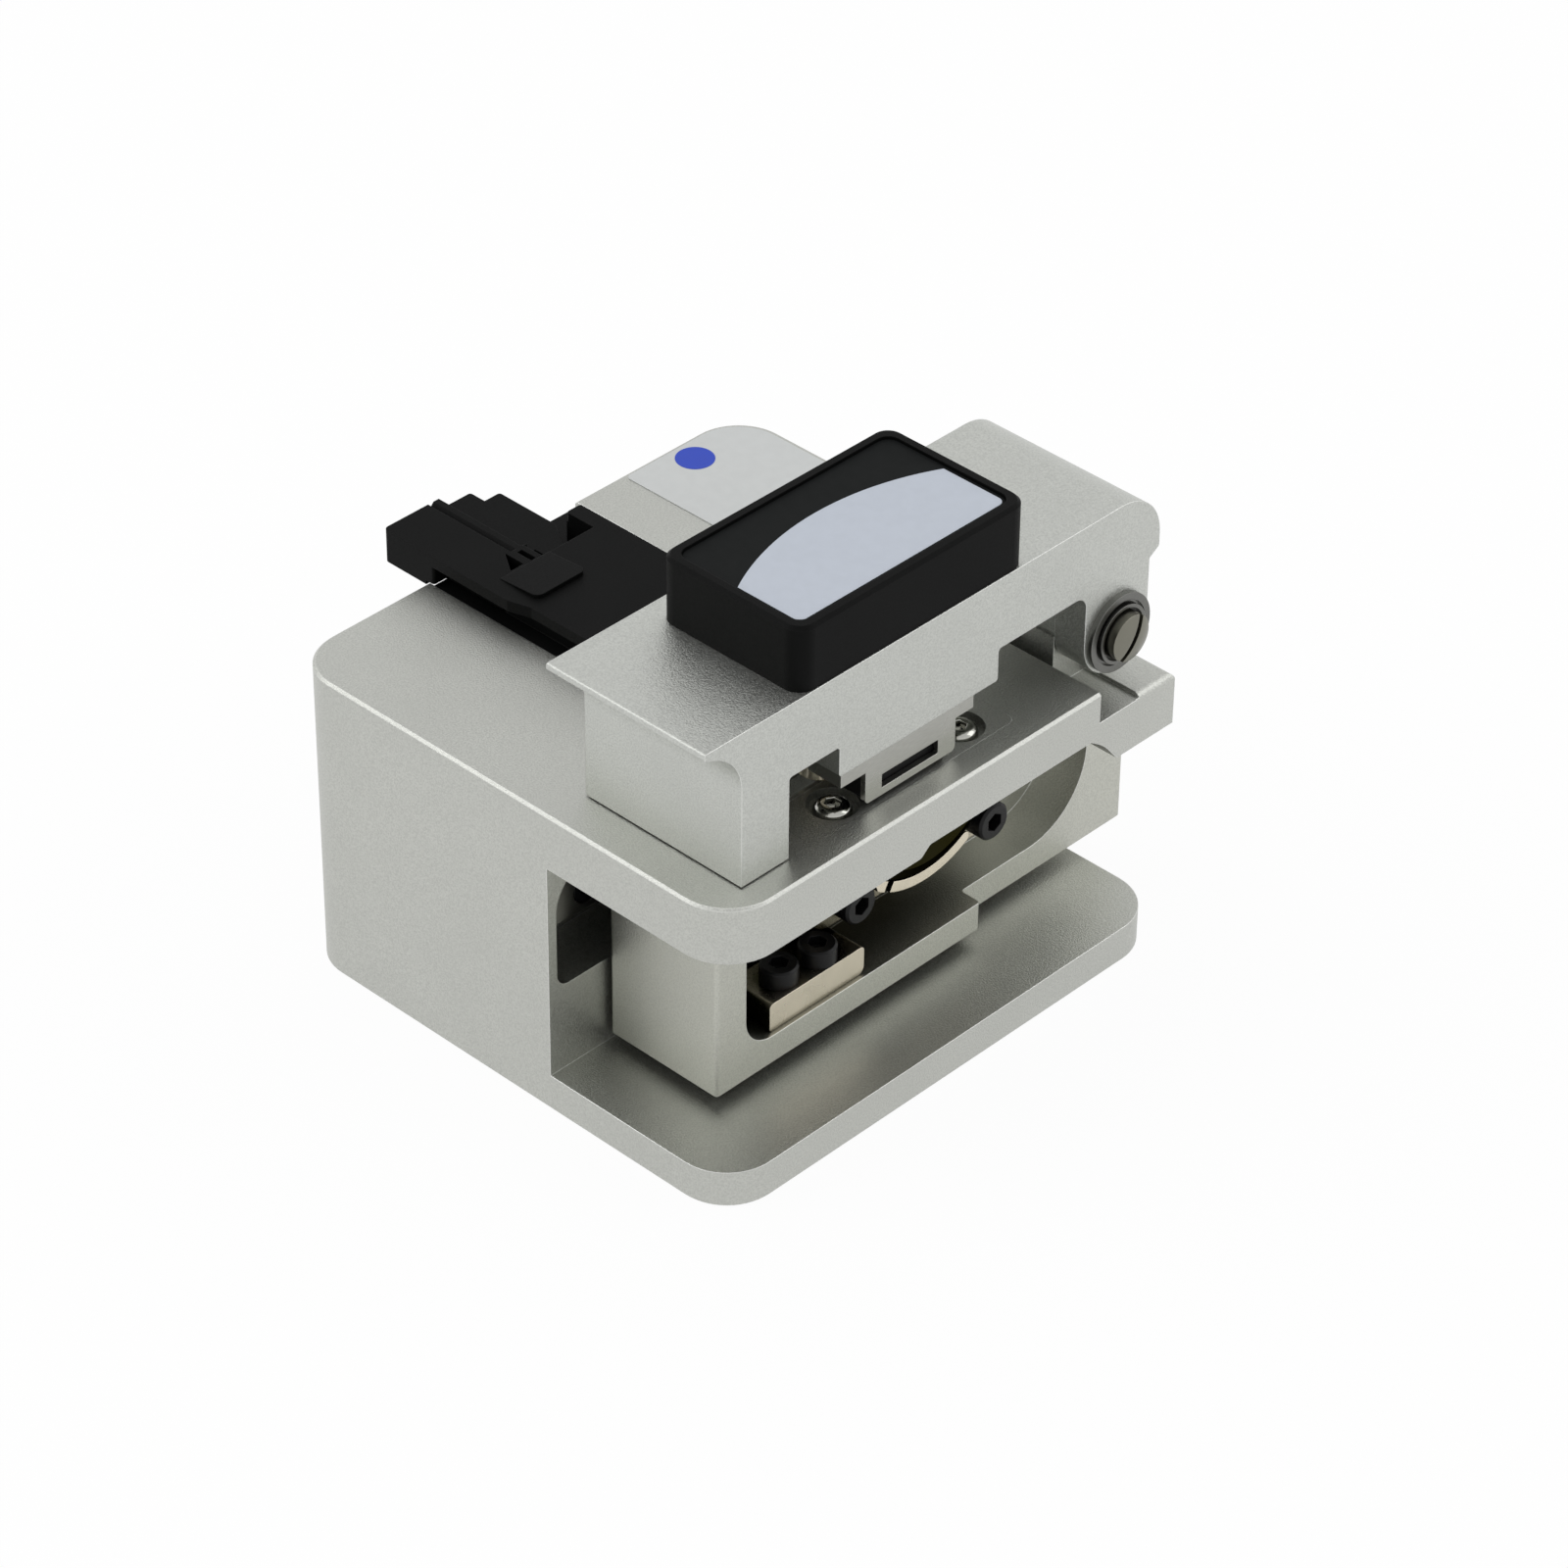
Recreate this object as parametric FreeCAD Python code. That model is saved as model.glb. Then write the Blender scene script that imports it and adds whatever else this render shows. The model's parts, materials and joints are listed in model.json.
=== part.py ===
"""Precision fibre cleaver: a machined block with a sliding blade carriage, a hinged
clamp lid and a removable fibre adapter.  Millimetres.

Everything is drawn from the base's front left bottom corner: x runs along the
carriage's travel, y runs back along the fibre, z is up.  save() then moves each solid
so that the origin is the centre of the base's underside."""
import FreeCAD, Part
import math
import os

os.makedirs("parts", exist_ok=True)
V = FreeCAD.Vector

# ---- driving dimensions -------------------------------------------------------------
BASE_W = 60.0            # along the carriage's travel
BASE_D = 57.6            # along the fibre
BASE_H = 34.4            # machined block, lid left out
BASE_R = 5.5             # its four vertical corners
FOOT_T = 4.1             # plate under the carriage
EDGE = 0.25              # broken edges of machined aluminium
BAY_BACK = 23.1          # front wall of the rear block
TABLE_UNDER = 28.3       # underside of the table over the carriage, left part
TABLE_RELIEF = 29.3      # the same, right part
RELIEF_X = 25.0
HINGE_BLOCK_X = 52.0     # thick right end of the table, with a sloping flank
FLANK = (50.1, 28.0)     # where the flank bends
FLANK_R = 7.0
FLANK_TOP_X = 48.2
HINGE_BLOCK_UNDER = 25.6
SEAT_X = 49.3            # lowered seat under the hinge
SEAT_Z = 31.0
SEAT_STEP_X = 55.0
SEAT_STEP_Z = 31.4
NOSE_EDGE = 0.8          # rounding of the seat's outer edges

FIBRE_X = 27.5           # the fibre's line
BLADE_Y = 10.2           # the blade's plane
BLADE_R = 9.9
BLADE_T = 0.9
BLADE_SLOT_HALF = 0.85   # half the width of the slot it crosses the table in
BLADE_TOP = BASE_H + 0.7
BLADE_Z = BLADE_TOP - BLADE_R
TRAVEL = 19.0            # of the carriage, to the left of rest
BLADE_X = FIBRE_X + TRAVEL / 2

CAR_L = 7.3              # carriage at rest, its right end out of the bay
CAR_R = 66.5
CAR_FRONT = 8.6
CAR_STEP_X = 43.2        # right of this the front face sits back
CAR_STEP_Y = 11.1
CAR_BACK = 22.5
CAR_Z = 5.3
CAR_TOP = 25.3
CAR_FLOOR = 8.65

LID_FRONT = 2.93
LID_BACK = 22.6
LID_TOP = 51.4
LID_FOOT = 34.55
LUG_T = 3.7              # hinge ears and front and rear flanges
PIVOT_X = 54.42
PIVOT_Z = 37.6
LUG_R = 4.38
PIN_R = 1.5
PIN_ROOM = 0.3           # between the bushes the knuckle's bore stands clear of the pin
RUN = 0.05               # radial clearance of a running fit
SEAT_GAP = 0.03          # radial clearance of a screw in its hole

CHANNEL_L = 17.9         # adapter channel in the top
CHANNEL_R = 37.4
CHANNEL_Z = 30.4
CHANNEL_FRONT = 20.0
ADAPTER_FRONT = 20.4
ADAPTER_BACK = 63.75
ADAPTER_TOP = 37.6

RAIL_Z = 20.3            # linear rail in the rear block's slot
RAIL_W = 5.0
RAIL_H = 3.5
SLOT_L = 1.1
SLOT_R = 58.9
SLOT_LOW = 13.8
SLOT_HIGH = 26.8
SLOT_BACK = 29.6
BLOCK_L = 22.0           # rail block
BLOCK_X = (CAR_L + CAR_R) / 2

CLAMP_W = 11.9           # upper clamp bracket
CLAMP_X = 26.7
CLAMP_SCREW_XS = (19.4, 36.2)
FRONT_CLAMP_Y = 5.9      # lower clamp screws' line
REAR_CLAMP_Y = 2 * BLADE_Y - FRONT_CLAMP_Y
ANVIL_X = FIBRE_X

CAP_L = 11.9
CAP_R = 41.6
CAP_FRONT = 3.05
CAP_BACK = 20.6
CAP_TOP = 58.3


# ---- helpers ------------------------------------------------------------------------
def save(name, shape):
    """Write one node, moved so that the origin is the centre of the base."""
    moved = shape.copy()
    moved.translate(V(-BASE_W / 2, -BASE_D / 2, 0))
    moved.exportStep("parts/" + name + ".step")


def box(x0, x1, y0, y1, z0, z1):
    return Part.makeBox(x1 - x0, y1 - y0, z1 - z0, V(x0, y0, z0))


def rod_y(x, y0, y1, z, r):
    return Part.makeCylinder(r, y1 - y0, V(x, y0, z), V(0, 1, 0))


def rod_z(x, y, z0, z1, r):
    return Part.makeCylinder(r, z1 - z0, V(x, y, z0), V(0, 0, 1))


def outline(corners, place):
    """Closed wire through corners (a, b, radius); place(a, b) gives the 3-D point."""
    count = len(corners)
    ends = []
    for i in range(count):
        ax, ay, r = corners[i]
        px, py = corners[i - 1][:2]
        nx, ny = corners[(i + 1) % count][:2]
        back = math.atan2(py - ay, px - ax)
        ahead = math.atan2(ny - ay, nx - ax)
        half = abs((ahead - back + math.pi) % (2 * math.pi) - math.pi) / 2
        if r == 0:
            ends.append(((ax, ay), None, (ax, ay)))
            continue
        reach = r / math.tan(half)
        first = (ax + reach * math.cos(back), ay + reach * math.sin(back))
        last = (ax + reach * math.cos(ahead), ay + reach * math.sin(ahead))
        mx = (first[0] + last[0]) / 2 - ax
        my = (first[1] + last[1]) / 2 - ay
        size = math.hypot(mx, my)
        depth = r / math.sin(half) - r
        middle = (ax + mx / size * depth, ay + my / size * depth)
        ends.append((first, middle, last))
    edges = []
    for i in range(count):
        first, middle, last = ends[i]
        following = ends[(i + 1) % count][0]
        if middle:
            edges.append(Part.Arc(place(*first), place(*middle), place(*last)).toShape())
        if math.hypot(following[0] - last[0], following[1] - last[1]) > 1e-6:
            edges.append(Part.LineSegment(place(*last), place(*following)).toShape())
    return Part.Wire(edges)


def plan_solid(corners, z0, z1):
    """Prism with an outline in plan."""
    face = Part.Face(outline(corners, lambda a, b: V(a, b, z0)))
    return face.extrude(V(0, 0, z1 - z0))


def front_solid(corners, y0, y1):
    """Prism with an outline seen from the front, in x and z."""
    face = Part.Face(outline(corners, lambda a, b: V(a, y0, b)))
    return face.extrude(V(0, y1 - y0, 0))


def side_solid(corners, x0, x1):
    """Prism with an outline seen from the side, in y and z."""
    face = Part.Face(outline(corners, lambda a, b: V(x0, a, b)))
    return face.extrude(V(x1 - x0, 0, 0))


def round_box(x0, x1, y0, y1, z0, z1, r):
    return plan_solid([(x0, y0, r), (x1, y0, r), (x1, y1, r), (x0, y1, r)], z0, z1)


def break_edges(shape, size, wanted):
    """Chamfer the edges whose bounding box passes wanted()."""
    edges = [e for e in shape.Edges if wanted(e.BoundBox)]
    return shape.makeChamfer(size, edges)


def near(a, b):
    return abs(a - b) < 1e-3


def level(bb, z):
    """The edge lies in the horizontal plane z."""
    return near(bb.ZMin, z) and near(bb.ZMax, z)


def upright(bb, y):
    """The edge lies in the vertical plane y."""
    return near(bb.YMin, y) and near(bb.YMax, y)


def turned(profile):
    """Solid turned about the y axis through the origin, from (radius, y, 0) corners."""
    face = Part.Face(outline(profile, lambda a, b: V(a, b, 0)))
    return face.revolve(V(0, 0, 0), V(0, 1, 0), 360)


def domed_head(r, rim, crown):
    """Screw head towards -y from y = 0: a straight rim, then a shallow dome."""
    edges = [Part.LineSegment(V(0, 0, 0), V(r, 0, 0)).toShape(),
             Part.LineSegment(V(r, 0, 0), V(r, -rim, 0)).toShape(),
             Part.Arc(V(r, -rim, 0), V(r * 0.6, -rim - (crown - rim) * 0.68, 0), V(0, -crown, 0)).toShape(),
             Part.LineSegment(V(0, -crown, 0), V(0, 0, 0)).toShape()]
    return Part.Face(Part.Wire(edges)).revolve(V(0, 0, 0), V(0, 1, 0), 360)


def group(solids):
    return Part.makeCompound(solids)


# ---- fasteners ----------------------------------------------------------------------
def cap_screw_y(x, y, z, head_r, head_l, shank_r, shank_l):
    """Hex socket head towards -y, its seat at y."""
    head = rod_y(x, y - head_l, y, z, head_r)
    head = break_edges(head, head_r * 0.12, lambda bb: upright(bb, y - head_l))
    key = Part.makePolygon([V(x + head_r * 0.52 * math.cos(a), y - head_l, z + head_r * 0.52 * math.sin(a))
                            for a in [math.radians(30 + 60 * k) for k in range(7)]])
    socket = Part.Face(key).extrude(V(0, head_l * 0.6, 0))
    return head.cut(socket).fuse(rod_y(x, y, y + shank_l, z, shank_r))


def cap_screw_z(x, y, z, head_r, head_l, shank_r, shank_l):
    """Hex socket head upwards, its seat at z."""
    screw = cap_screw_y(0, 0, 0, head_r, head_l, shank_r, shank_l)
    screw.rotate(V(0, 0, 0), V(1, 0, 0), -90)
    screw.translate(V(x, y, z))
    return screw


def plain_screw_y(x, y, z, head_r, head_l, shank_r, shank_l):
    """Screw that is never seen: head towards -y with its seat at y, no drive cut."""
    return rod_y(x, y - head_l, y, z, head_r).fuse(rod_y(x, y, y + shank_l, z, shank_r))


def dome_screw_z(x, y, z, head_r, head_l, shank_r, shank_l):
    """Domed head upwards with a small hex socket, its seat at z."""
    head = domed_head(head_r, head_l * 0.3, head_l)
    socket_r = head_r * 0.4
    key = Part.makePolygon([V(socket_r * math.cos(math.radians(60 * k)), -2 * head_l,
                              socket_r * math.sin(math.radians(60 * k))) for k in range(7)])
    screw = head.cut(Part.Face(key).extrude(V(0, head_l * 1.5, 0)))
    screw = screw.fuse(rod_y(0, 0, shank_l, 0, shank_r))
    screw.rotate(V(0, 0, 0), V(1, 0, 0), -90)
    screw.translate(V(x, y, z))
    return screw


# ---- base ---------------------------------------------------------------------------
RAIL_SCREW_XS = (8.0, 22.0, 38.0, 52.0)
RAIL_SCREW_R = 1.0
RAIL_SCREW_L = 4.0
RAIL_HEAD_R = 1.7
RAIL_HEAD_L = 1.2
RAIL_SINK = 1.4          # counterbore in the rail
RAIL_SINK_R = 1.75
STOP_PIN_R = 1.1
STOP_PIN_Z = 24.7
STOP_GAP = 0.08
STOP_PIN_XS = (BLOCK_X - BLOCK_L / 2 - TRAVEL - STOP_GAP - STOP_PIN_R,
               BLOCK_X + BLOCK_L / 2 + STOP_GAP + STOP_PIN_R)
CLAMP_SEAT = (13.6, 40.7)      # pocket of a lower clamp, along x
CLAMP_HALF = 3.0               # half its width
CLAMP_DEPTH = 3.0
CLAMP_SCREW_R = 1.0
CLAMP_SCREW_L = 5.4
CLAMP_SINK = 0.9               # round recess for a screw's head
CLAMP_SINK_R = 2.5
CLAMP_HEAD_R = 1.85
CLAMP_HEAD_L = 1.2
MAGNET_X = 7.6
MAGNET_Y = (LID_FRONT + LID_BACK) / 2
MAGNET_R = 2.0
MAGNET_H = 2.0
KNUCKLE_Y = (6.9, 18.6)
KNUCKLE_HALF = 4.1
BUSH_R = 2.4
BUSH_L = 3.5


def bay():
    """Space of the carriage, seen from the front."""
    return front_solid([(-1, FOOT_T, 0), (BASE_W + 1, FOOT_T, 0),
                        (BASE_W + 1, HINGE_BLOCK_UNDER, 0), (HINGE_BLOCK_X, HINGE_BLOCK_UNDER, 0),
                        (*FLANK, FLANK_R), (FLANK_TOP_X, TABLE_RELIEF, 0.5),
                        (RELIEF_X + 1.2, TABLE_RELIEF, 0.6), (RELIEF_X, TABLE_UNDER, 0.6),
                        (-1, TABLE_UNDER, 0)], -1, BAY_BACK)


def blade_path(clear_r, half_t):
    """What a saw of the blade's size cuts while it crosses the table."""
    far_x = BLADE_X - TRAVEL
    cut = rod_y(BLADE_X, BLADE_Y - half_t, BLADE_Y + half_t, BLADE_Z, clear_r)
    cut = cut.fuse(rod_y(far_x, BLADE_Y - half_t, BLADE_Y + half_t, BLADE_Z, clear_r))
    return cut.fuse(box(far_x, BLADE_X, BLADE_Y - half_t, BLADE_Y + half_t, BLADE_Z, BLADE_Z + clear_r))


def rail_slot():
    """Round-cornered slot for the linear rail in the rear block's front wall."""
    return front_solid([(SLOT_L, SLOT_LOW, 1.5), (SLOT_R, SLOT_LOW, 1.5),
                        (SLOT_R, SLOT_HIGH, 4.5), (SLOT_L, SLOT_HIGH, 4.5)], BAY_BACK - 0.5, SLOT_BACK)


def hinge_seat():
    return front_solid([(SEAT_X, SEAT_Z, 0), (SEAT_STEP_X, SEAT_Z, 0), (SEAT_STEP_X, SEAT_STEP_Z, 0),
                        (BASE_W + 1, SEAT_STEP_Z, 0), (BASE_W + 1, BASE_H + 1, 0),
                        (SEAT_X, BASE_H + 1, 0)], -1, BAY_BACK)


def knuckle():
    """Round-topped hinge boss between the lid's ears."""
    low = SEAT_Z - 0.5
    left = PIVOT_X - KNUCKLE_HALF
    right = PIVOT_X + KNUCKLE_HALF
    top = PIVOT_Z + KNUCKLE_HALF
    return front_solid([(left, low, 0), (right, low, 0), (right, top, KNUCKLE_HALF - 0.01),
                        (left, top, KNUCKLE_HALF - 0.01)], *KNUCKLE_Y)


def clamp_seat(y):
    """Pocket in the table for a lower clamp centred on y."""
    return round_box(CLAMP_SEAT[0], CLAMP_SEAT[1], y - CLAMP_HALF, y + CLAMP_HALF,
                     BASE_H - CLAMP_DEPTH, BASE_H + 1, 1.0)


def hinge_nose():
    """Square front right corner of the hinge block, its outer top edges well rounded."""
    left = BASE_W - BASE_R
    low = HINGE_BLOCK_UNDER
    across = side_solid([(0, low, 0), (0, SEAT_STEP_Z, NOSE_EDGE), (BAY_BACK, SEAT_STEP_Z, 0),
                         (BAY_BACK, low, 0)], left, BASE_W)
    along = front_solid([(left, low, 0), (BASE_W, low, 0), (BASE_W, SEAT_STEP_Z, NOSE_EDGE),
                         (left, SEAT_STEP_Z, 0)], 0, BAY_BACK)
    return across.common(along)


def main_body():
    body = round_box(0, BASE_W, 0, BASE_D, 0, BASE_H, BASE_R)
    body = break_edges(body, EDGE, lambda bb: level(bb, 0) or level(bb, BASE_H))
    body = body.cut(bay())
    body = body.cut(box(BASE_W - BASE_R, BASE_W + 1, -1, BAY_BACK, HINGE_BLOCK_UNDER - 1, BASE_H + 1))
    body = body.fuse(hinge_nose())
    body = body.cut(hinge_seat())
    body = body.fuse(knuckle())
    body = body.cut(rod_y(PIVOT_X, 0, BAY_BACK, PIVOT_Z, PIN_R + PIN_ROOM))
    for y in (KNUCKLE_Y[0], KNUCKLE_Y[1] - BUSH_L):
        body = body.cut(rod_y(PIVOT_X, y, y + BUSH_L, PIVOT_Z, BUSH_R))
    body = body.cut(rail_slot())
    body = body.cut(box(CHANNEL_L, CHANNEL_R, CHANNEL_FRONT, BASE_D + 1, CHANNEL_Z, BASE_H + 1))
    body = body.cut(blade_path(BLADE_R + 0.5, BLADE_SLOT_HALF))
    for y in (FRONT_CLAMP_Y, REAR_CLAMP_Y):
        body = body.cut(clamp_seat(y))
        for x in CLAMP_SCREW_XS:
            low = BASE_H - CLAMP_SCREW_L
            body = body.cut(rod_z(x, y, low, BASE_H, CLAMP_SCREW_R + SEAT_GAP))
    for x in RAIL_SCREW_XS:
        body = body.cut(rod_y(x, SLOT_BACK - 1, SLOT_BACK + RAIL_SCREW_L, RAIL_Z, RAIL_SCREW_R + SEAT_GAP))
    for x in STOP_PIN_XS:
        body = body.cut(rod_y(x, SLOT_BACK - 1, SLOT_BACK + 4, STOP_PIN_Z, STOP_PIN_R))
    body = body.cut(rod_z(MAGNET_X, MAGNET_Y, BASE_H - MAGNET_H, BASE_H + 1, MAGNET_R))
    return body.removeSplitter()


def rail_screw_hole(x, y0, y1, r):
    return rod_y(x, y0, y1, RAIL_Z, r)


def linear_rail():
    """Grooved miniature rail, counterbored for its screws."""
    y0 = SLOT_BACK - RAIL_H
    half = RAIL_W / 2
    waist = half - 0.5
    rail = side_solid([(SLOT_BACK, RAIL_Z - half, 0), (SLOT_BACK, RAIL_Z + half, 0),
                       (y0 + 2.2, RAIL_Z + half, 0), (y0 + 1.6, RAIL_Z + waist, 0),
                       (y0 + 1.0, RAIL_Z + half, 0), (y0, RAIL_Z + half, 0.3),
                       (y0, RAIL_Z - half, 0.3), (y0 + 1.0, RAIL_Z - half, 0),
                       (y0 + 1.6, RAIL_Z - waist, 0), (y0 + 2.2, RAIL_Z - half, 0)],
                      SLOT_L + 0.3, SLOT_R - 0.3)
    for x in RAIL_SCREW_XS:
        rail = rail.cut(rail_screw_hole(x, y0 - 1, SLOT_BACK + 1, RAIL_SCREW_R + SEAT_GAP))
        rail = rail.cut(rail_screw_hole(x, y0 - 1, y0 + RAIL_SINK, RAIL_SINK_R))
    return rail


def rail_screws():
    seat = SLOT_BACK - RAIL_H + RAIL_SINK
    length = RAIL_H - RAIL_SINK + RAIL_SCREW_L - 0.2
    return group([cap_screw_y(x, seat, RAIL_Z, RAIL_HEAD_R, RAIL_HEAD_L, RAIL_SCREW_R, length)
                  for x in RAIL_SCREW_XS])


def stop_pins():
    pins = []
    for x in STOP_PIN_XS:
        pin = rod_y(x, BAY_BACK + 0.6, SLOT_BACK + 3.9, STOP_PIN_Z, STOP_PIN_R)
        pins.append(break_edges(pin, 0.25, lambda bb: upright(bb, BAY_BACK + 0.6)))
    return group(pins)


PAD_X = (FIBRE_X - 4.2, FIBRE_X + 4.2)
PAD_HALF = 1.3
PAD_GROOVE = 0.9
PAD_TOP = BLADE_TOP + 0.05
FRONT_PAD_Y = 5.2              # pads stand a little further out than the screws
REAR_PAD_Y = 2 * BLADE_Y - FRONT_PAD_Y


def pad_y(clamp_y):
    return FRONT_PAD_Y if clamp_y < BLADE_Y else REAR_PAD_Y


def lower_clamp(y):
    """Bar let flush into the table, recessed for its screws and grooved for its pad."""
    gap = 0.03
    bar = round_box(CLAMP_SEAT[0] + gap, CLAMP_SEAT[1] - gap, y - CLAMP_HALF + gap, y + CLAMP_HALF - gap,
                    BASE_H - CLAMP_DEPTH, BASE_H, 1.0 - gap)
    mid = pad_y(y)
    bar = bar.cut(box(PAD_X[0], PAD_X[1], mid - PAD_HALF, mid + PAD_HALF, BASE_H - PAD_GROOVE, BASE_H + 1))
    for x in CLAMP_SCREW_XS:
        bar = bar.cut(rod_z(x, y, 0, BASE_H + 1, CLAMP_SCREW_R + SEAT_GAP))
        bar = bar.cut(rod_z(x, y, BASE_H - CLAMP_SINK, BASE_H + 1, CLAMP_SINK_R))
    return bar


def lower_pads():
    pads = []
    for y in (FRONT_CLAMP_Y, REAR_CLAMP_Y):
        mid = pad_y(y)
        pad = box(PAD_X[0], PAD_X[1], mid - PAD_HALF, mid + PAD_HALF, BASE_H - PAD_GROOVE, PAD_TOP)
        pads.append(pad)
    return group(pads)


def lower_clamp_screws():
    seat = BASE_H - CLAMP_SINK
    length = CLAMP_SCREW_L - CLAMP_SINK - 0.2
    return group([dome_screw_z(x, y, seat, CLAMP_HEAD_R, CLAMP_HEAD_L, CLAMP_SCREW_R, length)
                  for y in (FRONT_CLAMP_Y, REAR_CLAMP_Y) for x in CLAMP_SCREW_XS])


def hinge_bushes():
    bushes = []
    for y in (KNUCKLE_Y[0], KNUCKLE_Y[1] - BUSH_L):
        sleeve = rod_y(PIVOT_X, y, y + BUSH_L, PIVOT_Z, BUSH_R)
        bushes.append(sleeve.cut(rod_y(PIVOT_X, y - 1, y + BUSH_L + 1, PIVOT_Z, PIN_R + RUN)))
    return group(bushes)


def base_magnet():
    return rod_z(MAGNET_X, MAGNET_Y, BASE_H - MAGNET_H, BASE_H, MAGNET_R)


# ---- carriage -----------------------------------------------------------------------
HOLDER_Y = (13.0, 16.0)
HOLDER_HALF = 12.8
HOLDER_SCREW_XS = (BLADE_X - 8.85, BLADE_X + 9.55)
HOLDER_SCREW_Z = BLADE_Z - 9.6
HOLDER_SCREW_R = 1.25
HOLDER_HEAD_R = 2.0
DISH_R = 11.3
DISH_IN = 10.15
DISH_FRONT = 10.2
DISH_FLOOR = 0.6
DISH_END = 30.5          # degrees right of straight down, where the rim stops
DISH_SLIT = 28           # degrees left of straight down
SLIT_HALF = 0.45
TRAY_L = 11.15
TRAY_R = 60.8
TRAY_LEFT_R = 3.6
TRAY_RIGHT_R = 8.0
BAR = (14.8, 27.5, 9.1, 14.4, CAR_FLOOR, 11.85)
BAR_SCREWS = ((18.35, 11.4), (23.1, 11.0))
BAR_SCREW_R = 0.9
BLOCK_SCREW_DX = 5.6
BLOCK_SCREW_DZ = 2.6


def carriage_body():
    """Tray with a tall back wall and two end columns, open at the front and top."""
    plan = [(CAR_L, CAR_FRONT, 0.4), (CAR_STEP_X, CAR_FRONT, 0.4), (CAR_STEP_X, CAR_STEP_Y, 0.4),
            (CAR_R, CAR_STEP_Y, 0.6), (CAR_R, CAR_BACK, 0.6), (CAR_L, CAR_BACK, 0.4)]
    body = plan_solid(plan, CAR_Z, CAR_TOP)
    body = break_edges(body, 0.25, lambda bb: level(bb, CAR_Z) or level(bb, CAR_TOP))
    body = body.cut(tray())
    body = body.cut(blade_hub_relief())
    for x in HOLDER_SCREW_XS:
        hole = rod_y(x, HOLDER_Y[1] - 1, HOLDER_Y[1] + 4.2, HOLDER_SCREW_Z, HOLDER_SCREW_R + SEAT_GAP)
        body = body.cut(hole)
    for x, y in BAR_SCREWS:
        body = body.cut(rod_z(x, y, CAR_FLOOR - 2.6, CAR_FLOOR + 1, BAR_SCREW_R + SEAT_GAP))
    for x, z in block_screw_places():
        body = body.cut(rod_y(x, HOLDER_Y[1] - 1, CAR_BACK + 1, z, 1.0 + SEAT_GAP))
        body = body.cut(rod_y(x, HOLDER_Y[1] - 1, HOLDER_Y[1] + 2.2, z, 2.0))
    return body


def tray():
    """Space inside the carriage, its two lower corners rounded differently."""
    return front_solid([(TRAY_L, CAR_FLOOR, TRAY_LEFT_R), (TRAY_R, CAR_FLOOR, TRAY_RIGHT_R),
                        (TRAY_R, CAR_TOP + 1, 0), (TRAY_L, CAR_TOP + 1, 0)], CAR_FRONT - 1, HOLDER_Y[1])


def blade_hub_relief():
    """Room behind the blade's shaft nut."""
    return rod_y(BLADE_X, HOLDER_Y[1] - 1, HOLDER_Y[1] + 2.6, BLADE_Z - 0.2, 3.2)


def block_screw_places():
    return [(BLOCK_X + dx, RAIL_Z + dz) for dx in (-BLOCK_SCREW_DX, BLOCK_SCREW_DX)
            for dz in (-BLOCK_SCREW_DZ, BLOCK_SCREW_DZ)]


def rail_block():
    """Ball carriage of the rail: saddle with its recirculating end caps."""
    y0 = CAR_BACK
    y1 = SLOT_BACK - 1.1
    half_z = 6.0
    half_l = BLOCK_L / 2
    run = 0.3
    mouth = RAIL_W / 2 + run
    saddle = side_solid([(y0, RAIL_Z - half_z, 0.4), (y1, RAIL_Z - half_z, 0.4), (y1, RAIL_Z - mouth, 0),
                         (SLOT_BACK - RAIL_H - run, RAIL_Z - mouth, 0.3),
                         (SLOT_BACK - RAIL_H - run, RAIL_Z + mouth, 0.3),
                         (y1, RAIL_Z + mouth, 0), (y1, RAIL_Z + half_z, 0.4), (y0, RAIL_Z + half_z, 0.4)],
                        BLOCK_X - half_l, BLOCK_X + half_l)
    for x in (BLOCK_X - half_l + 3.0, BLOCK_X + half_l - 3.0):
        ring = box(x - 0.2, x + 0.2, y0 + 0.3, y1 + 1, RAIL_Z - half_z - 1, RAIL_Z + half_z + 1)
        core = box(x - 1, x + 1, y0, y1 - 0.3, RAIL_Z - half_z + 0.3, RAIL_Z + half_z - 0.3)
        saddle = saddle.cut(ring.cut(core))
    for x, z in block_screw_places():
        saddle = saddle.cut(rod_y(x, y0 - 1, y0 + 3.0, z, 1.0 + SEAT_GAP))
    return saddle


def rail_block_screws():
    seat = HOLDER_Y[1] + 2.2
    length = CAR_BACK - seat + 2.8
    return group([plain_screw_y(x, seat, z, 1.9, 2.0, 1.0, length) for x, z in block_screw_places()])


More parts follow.
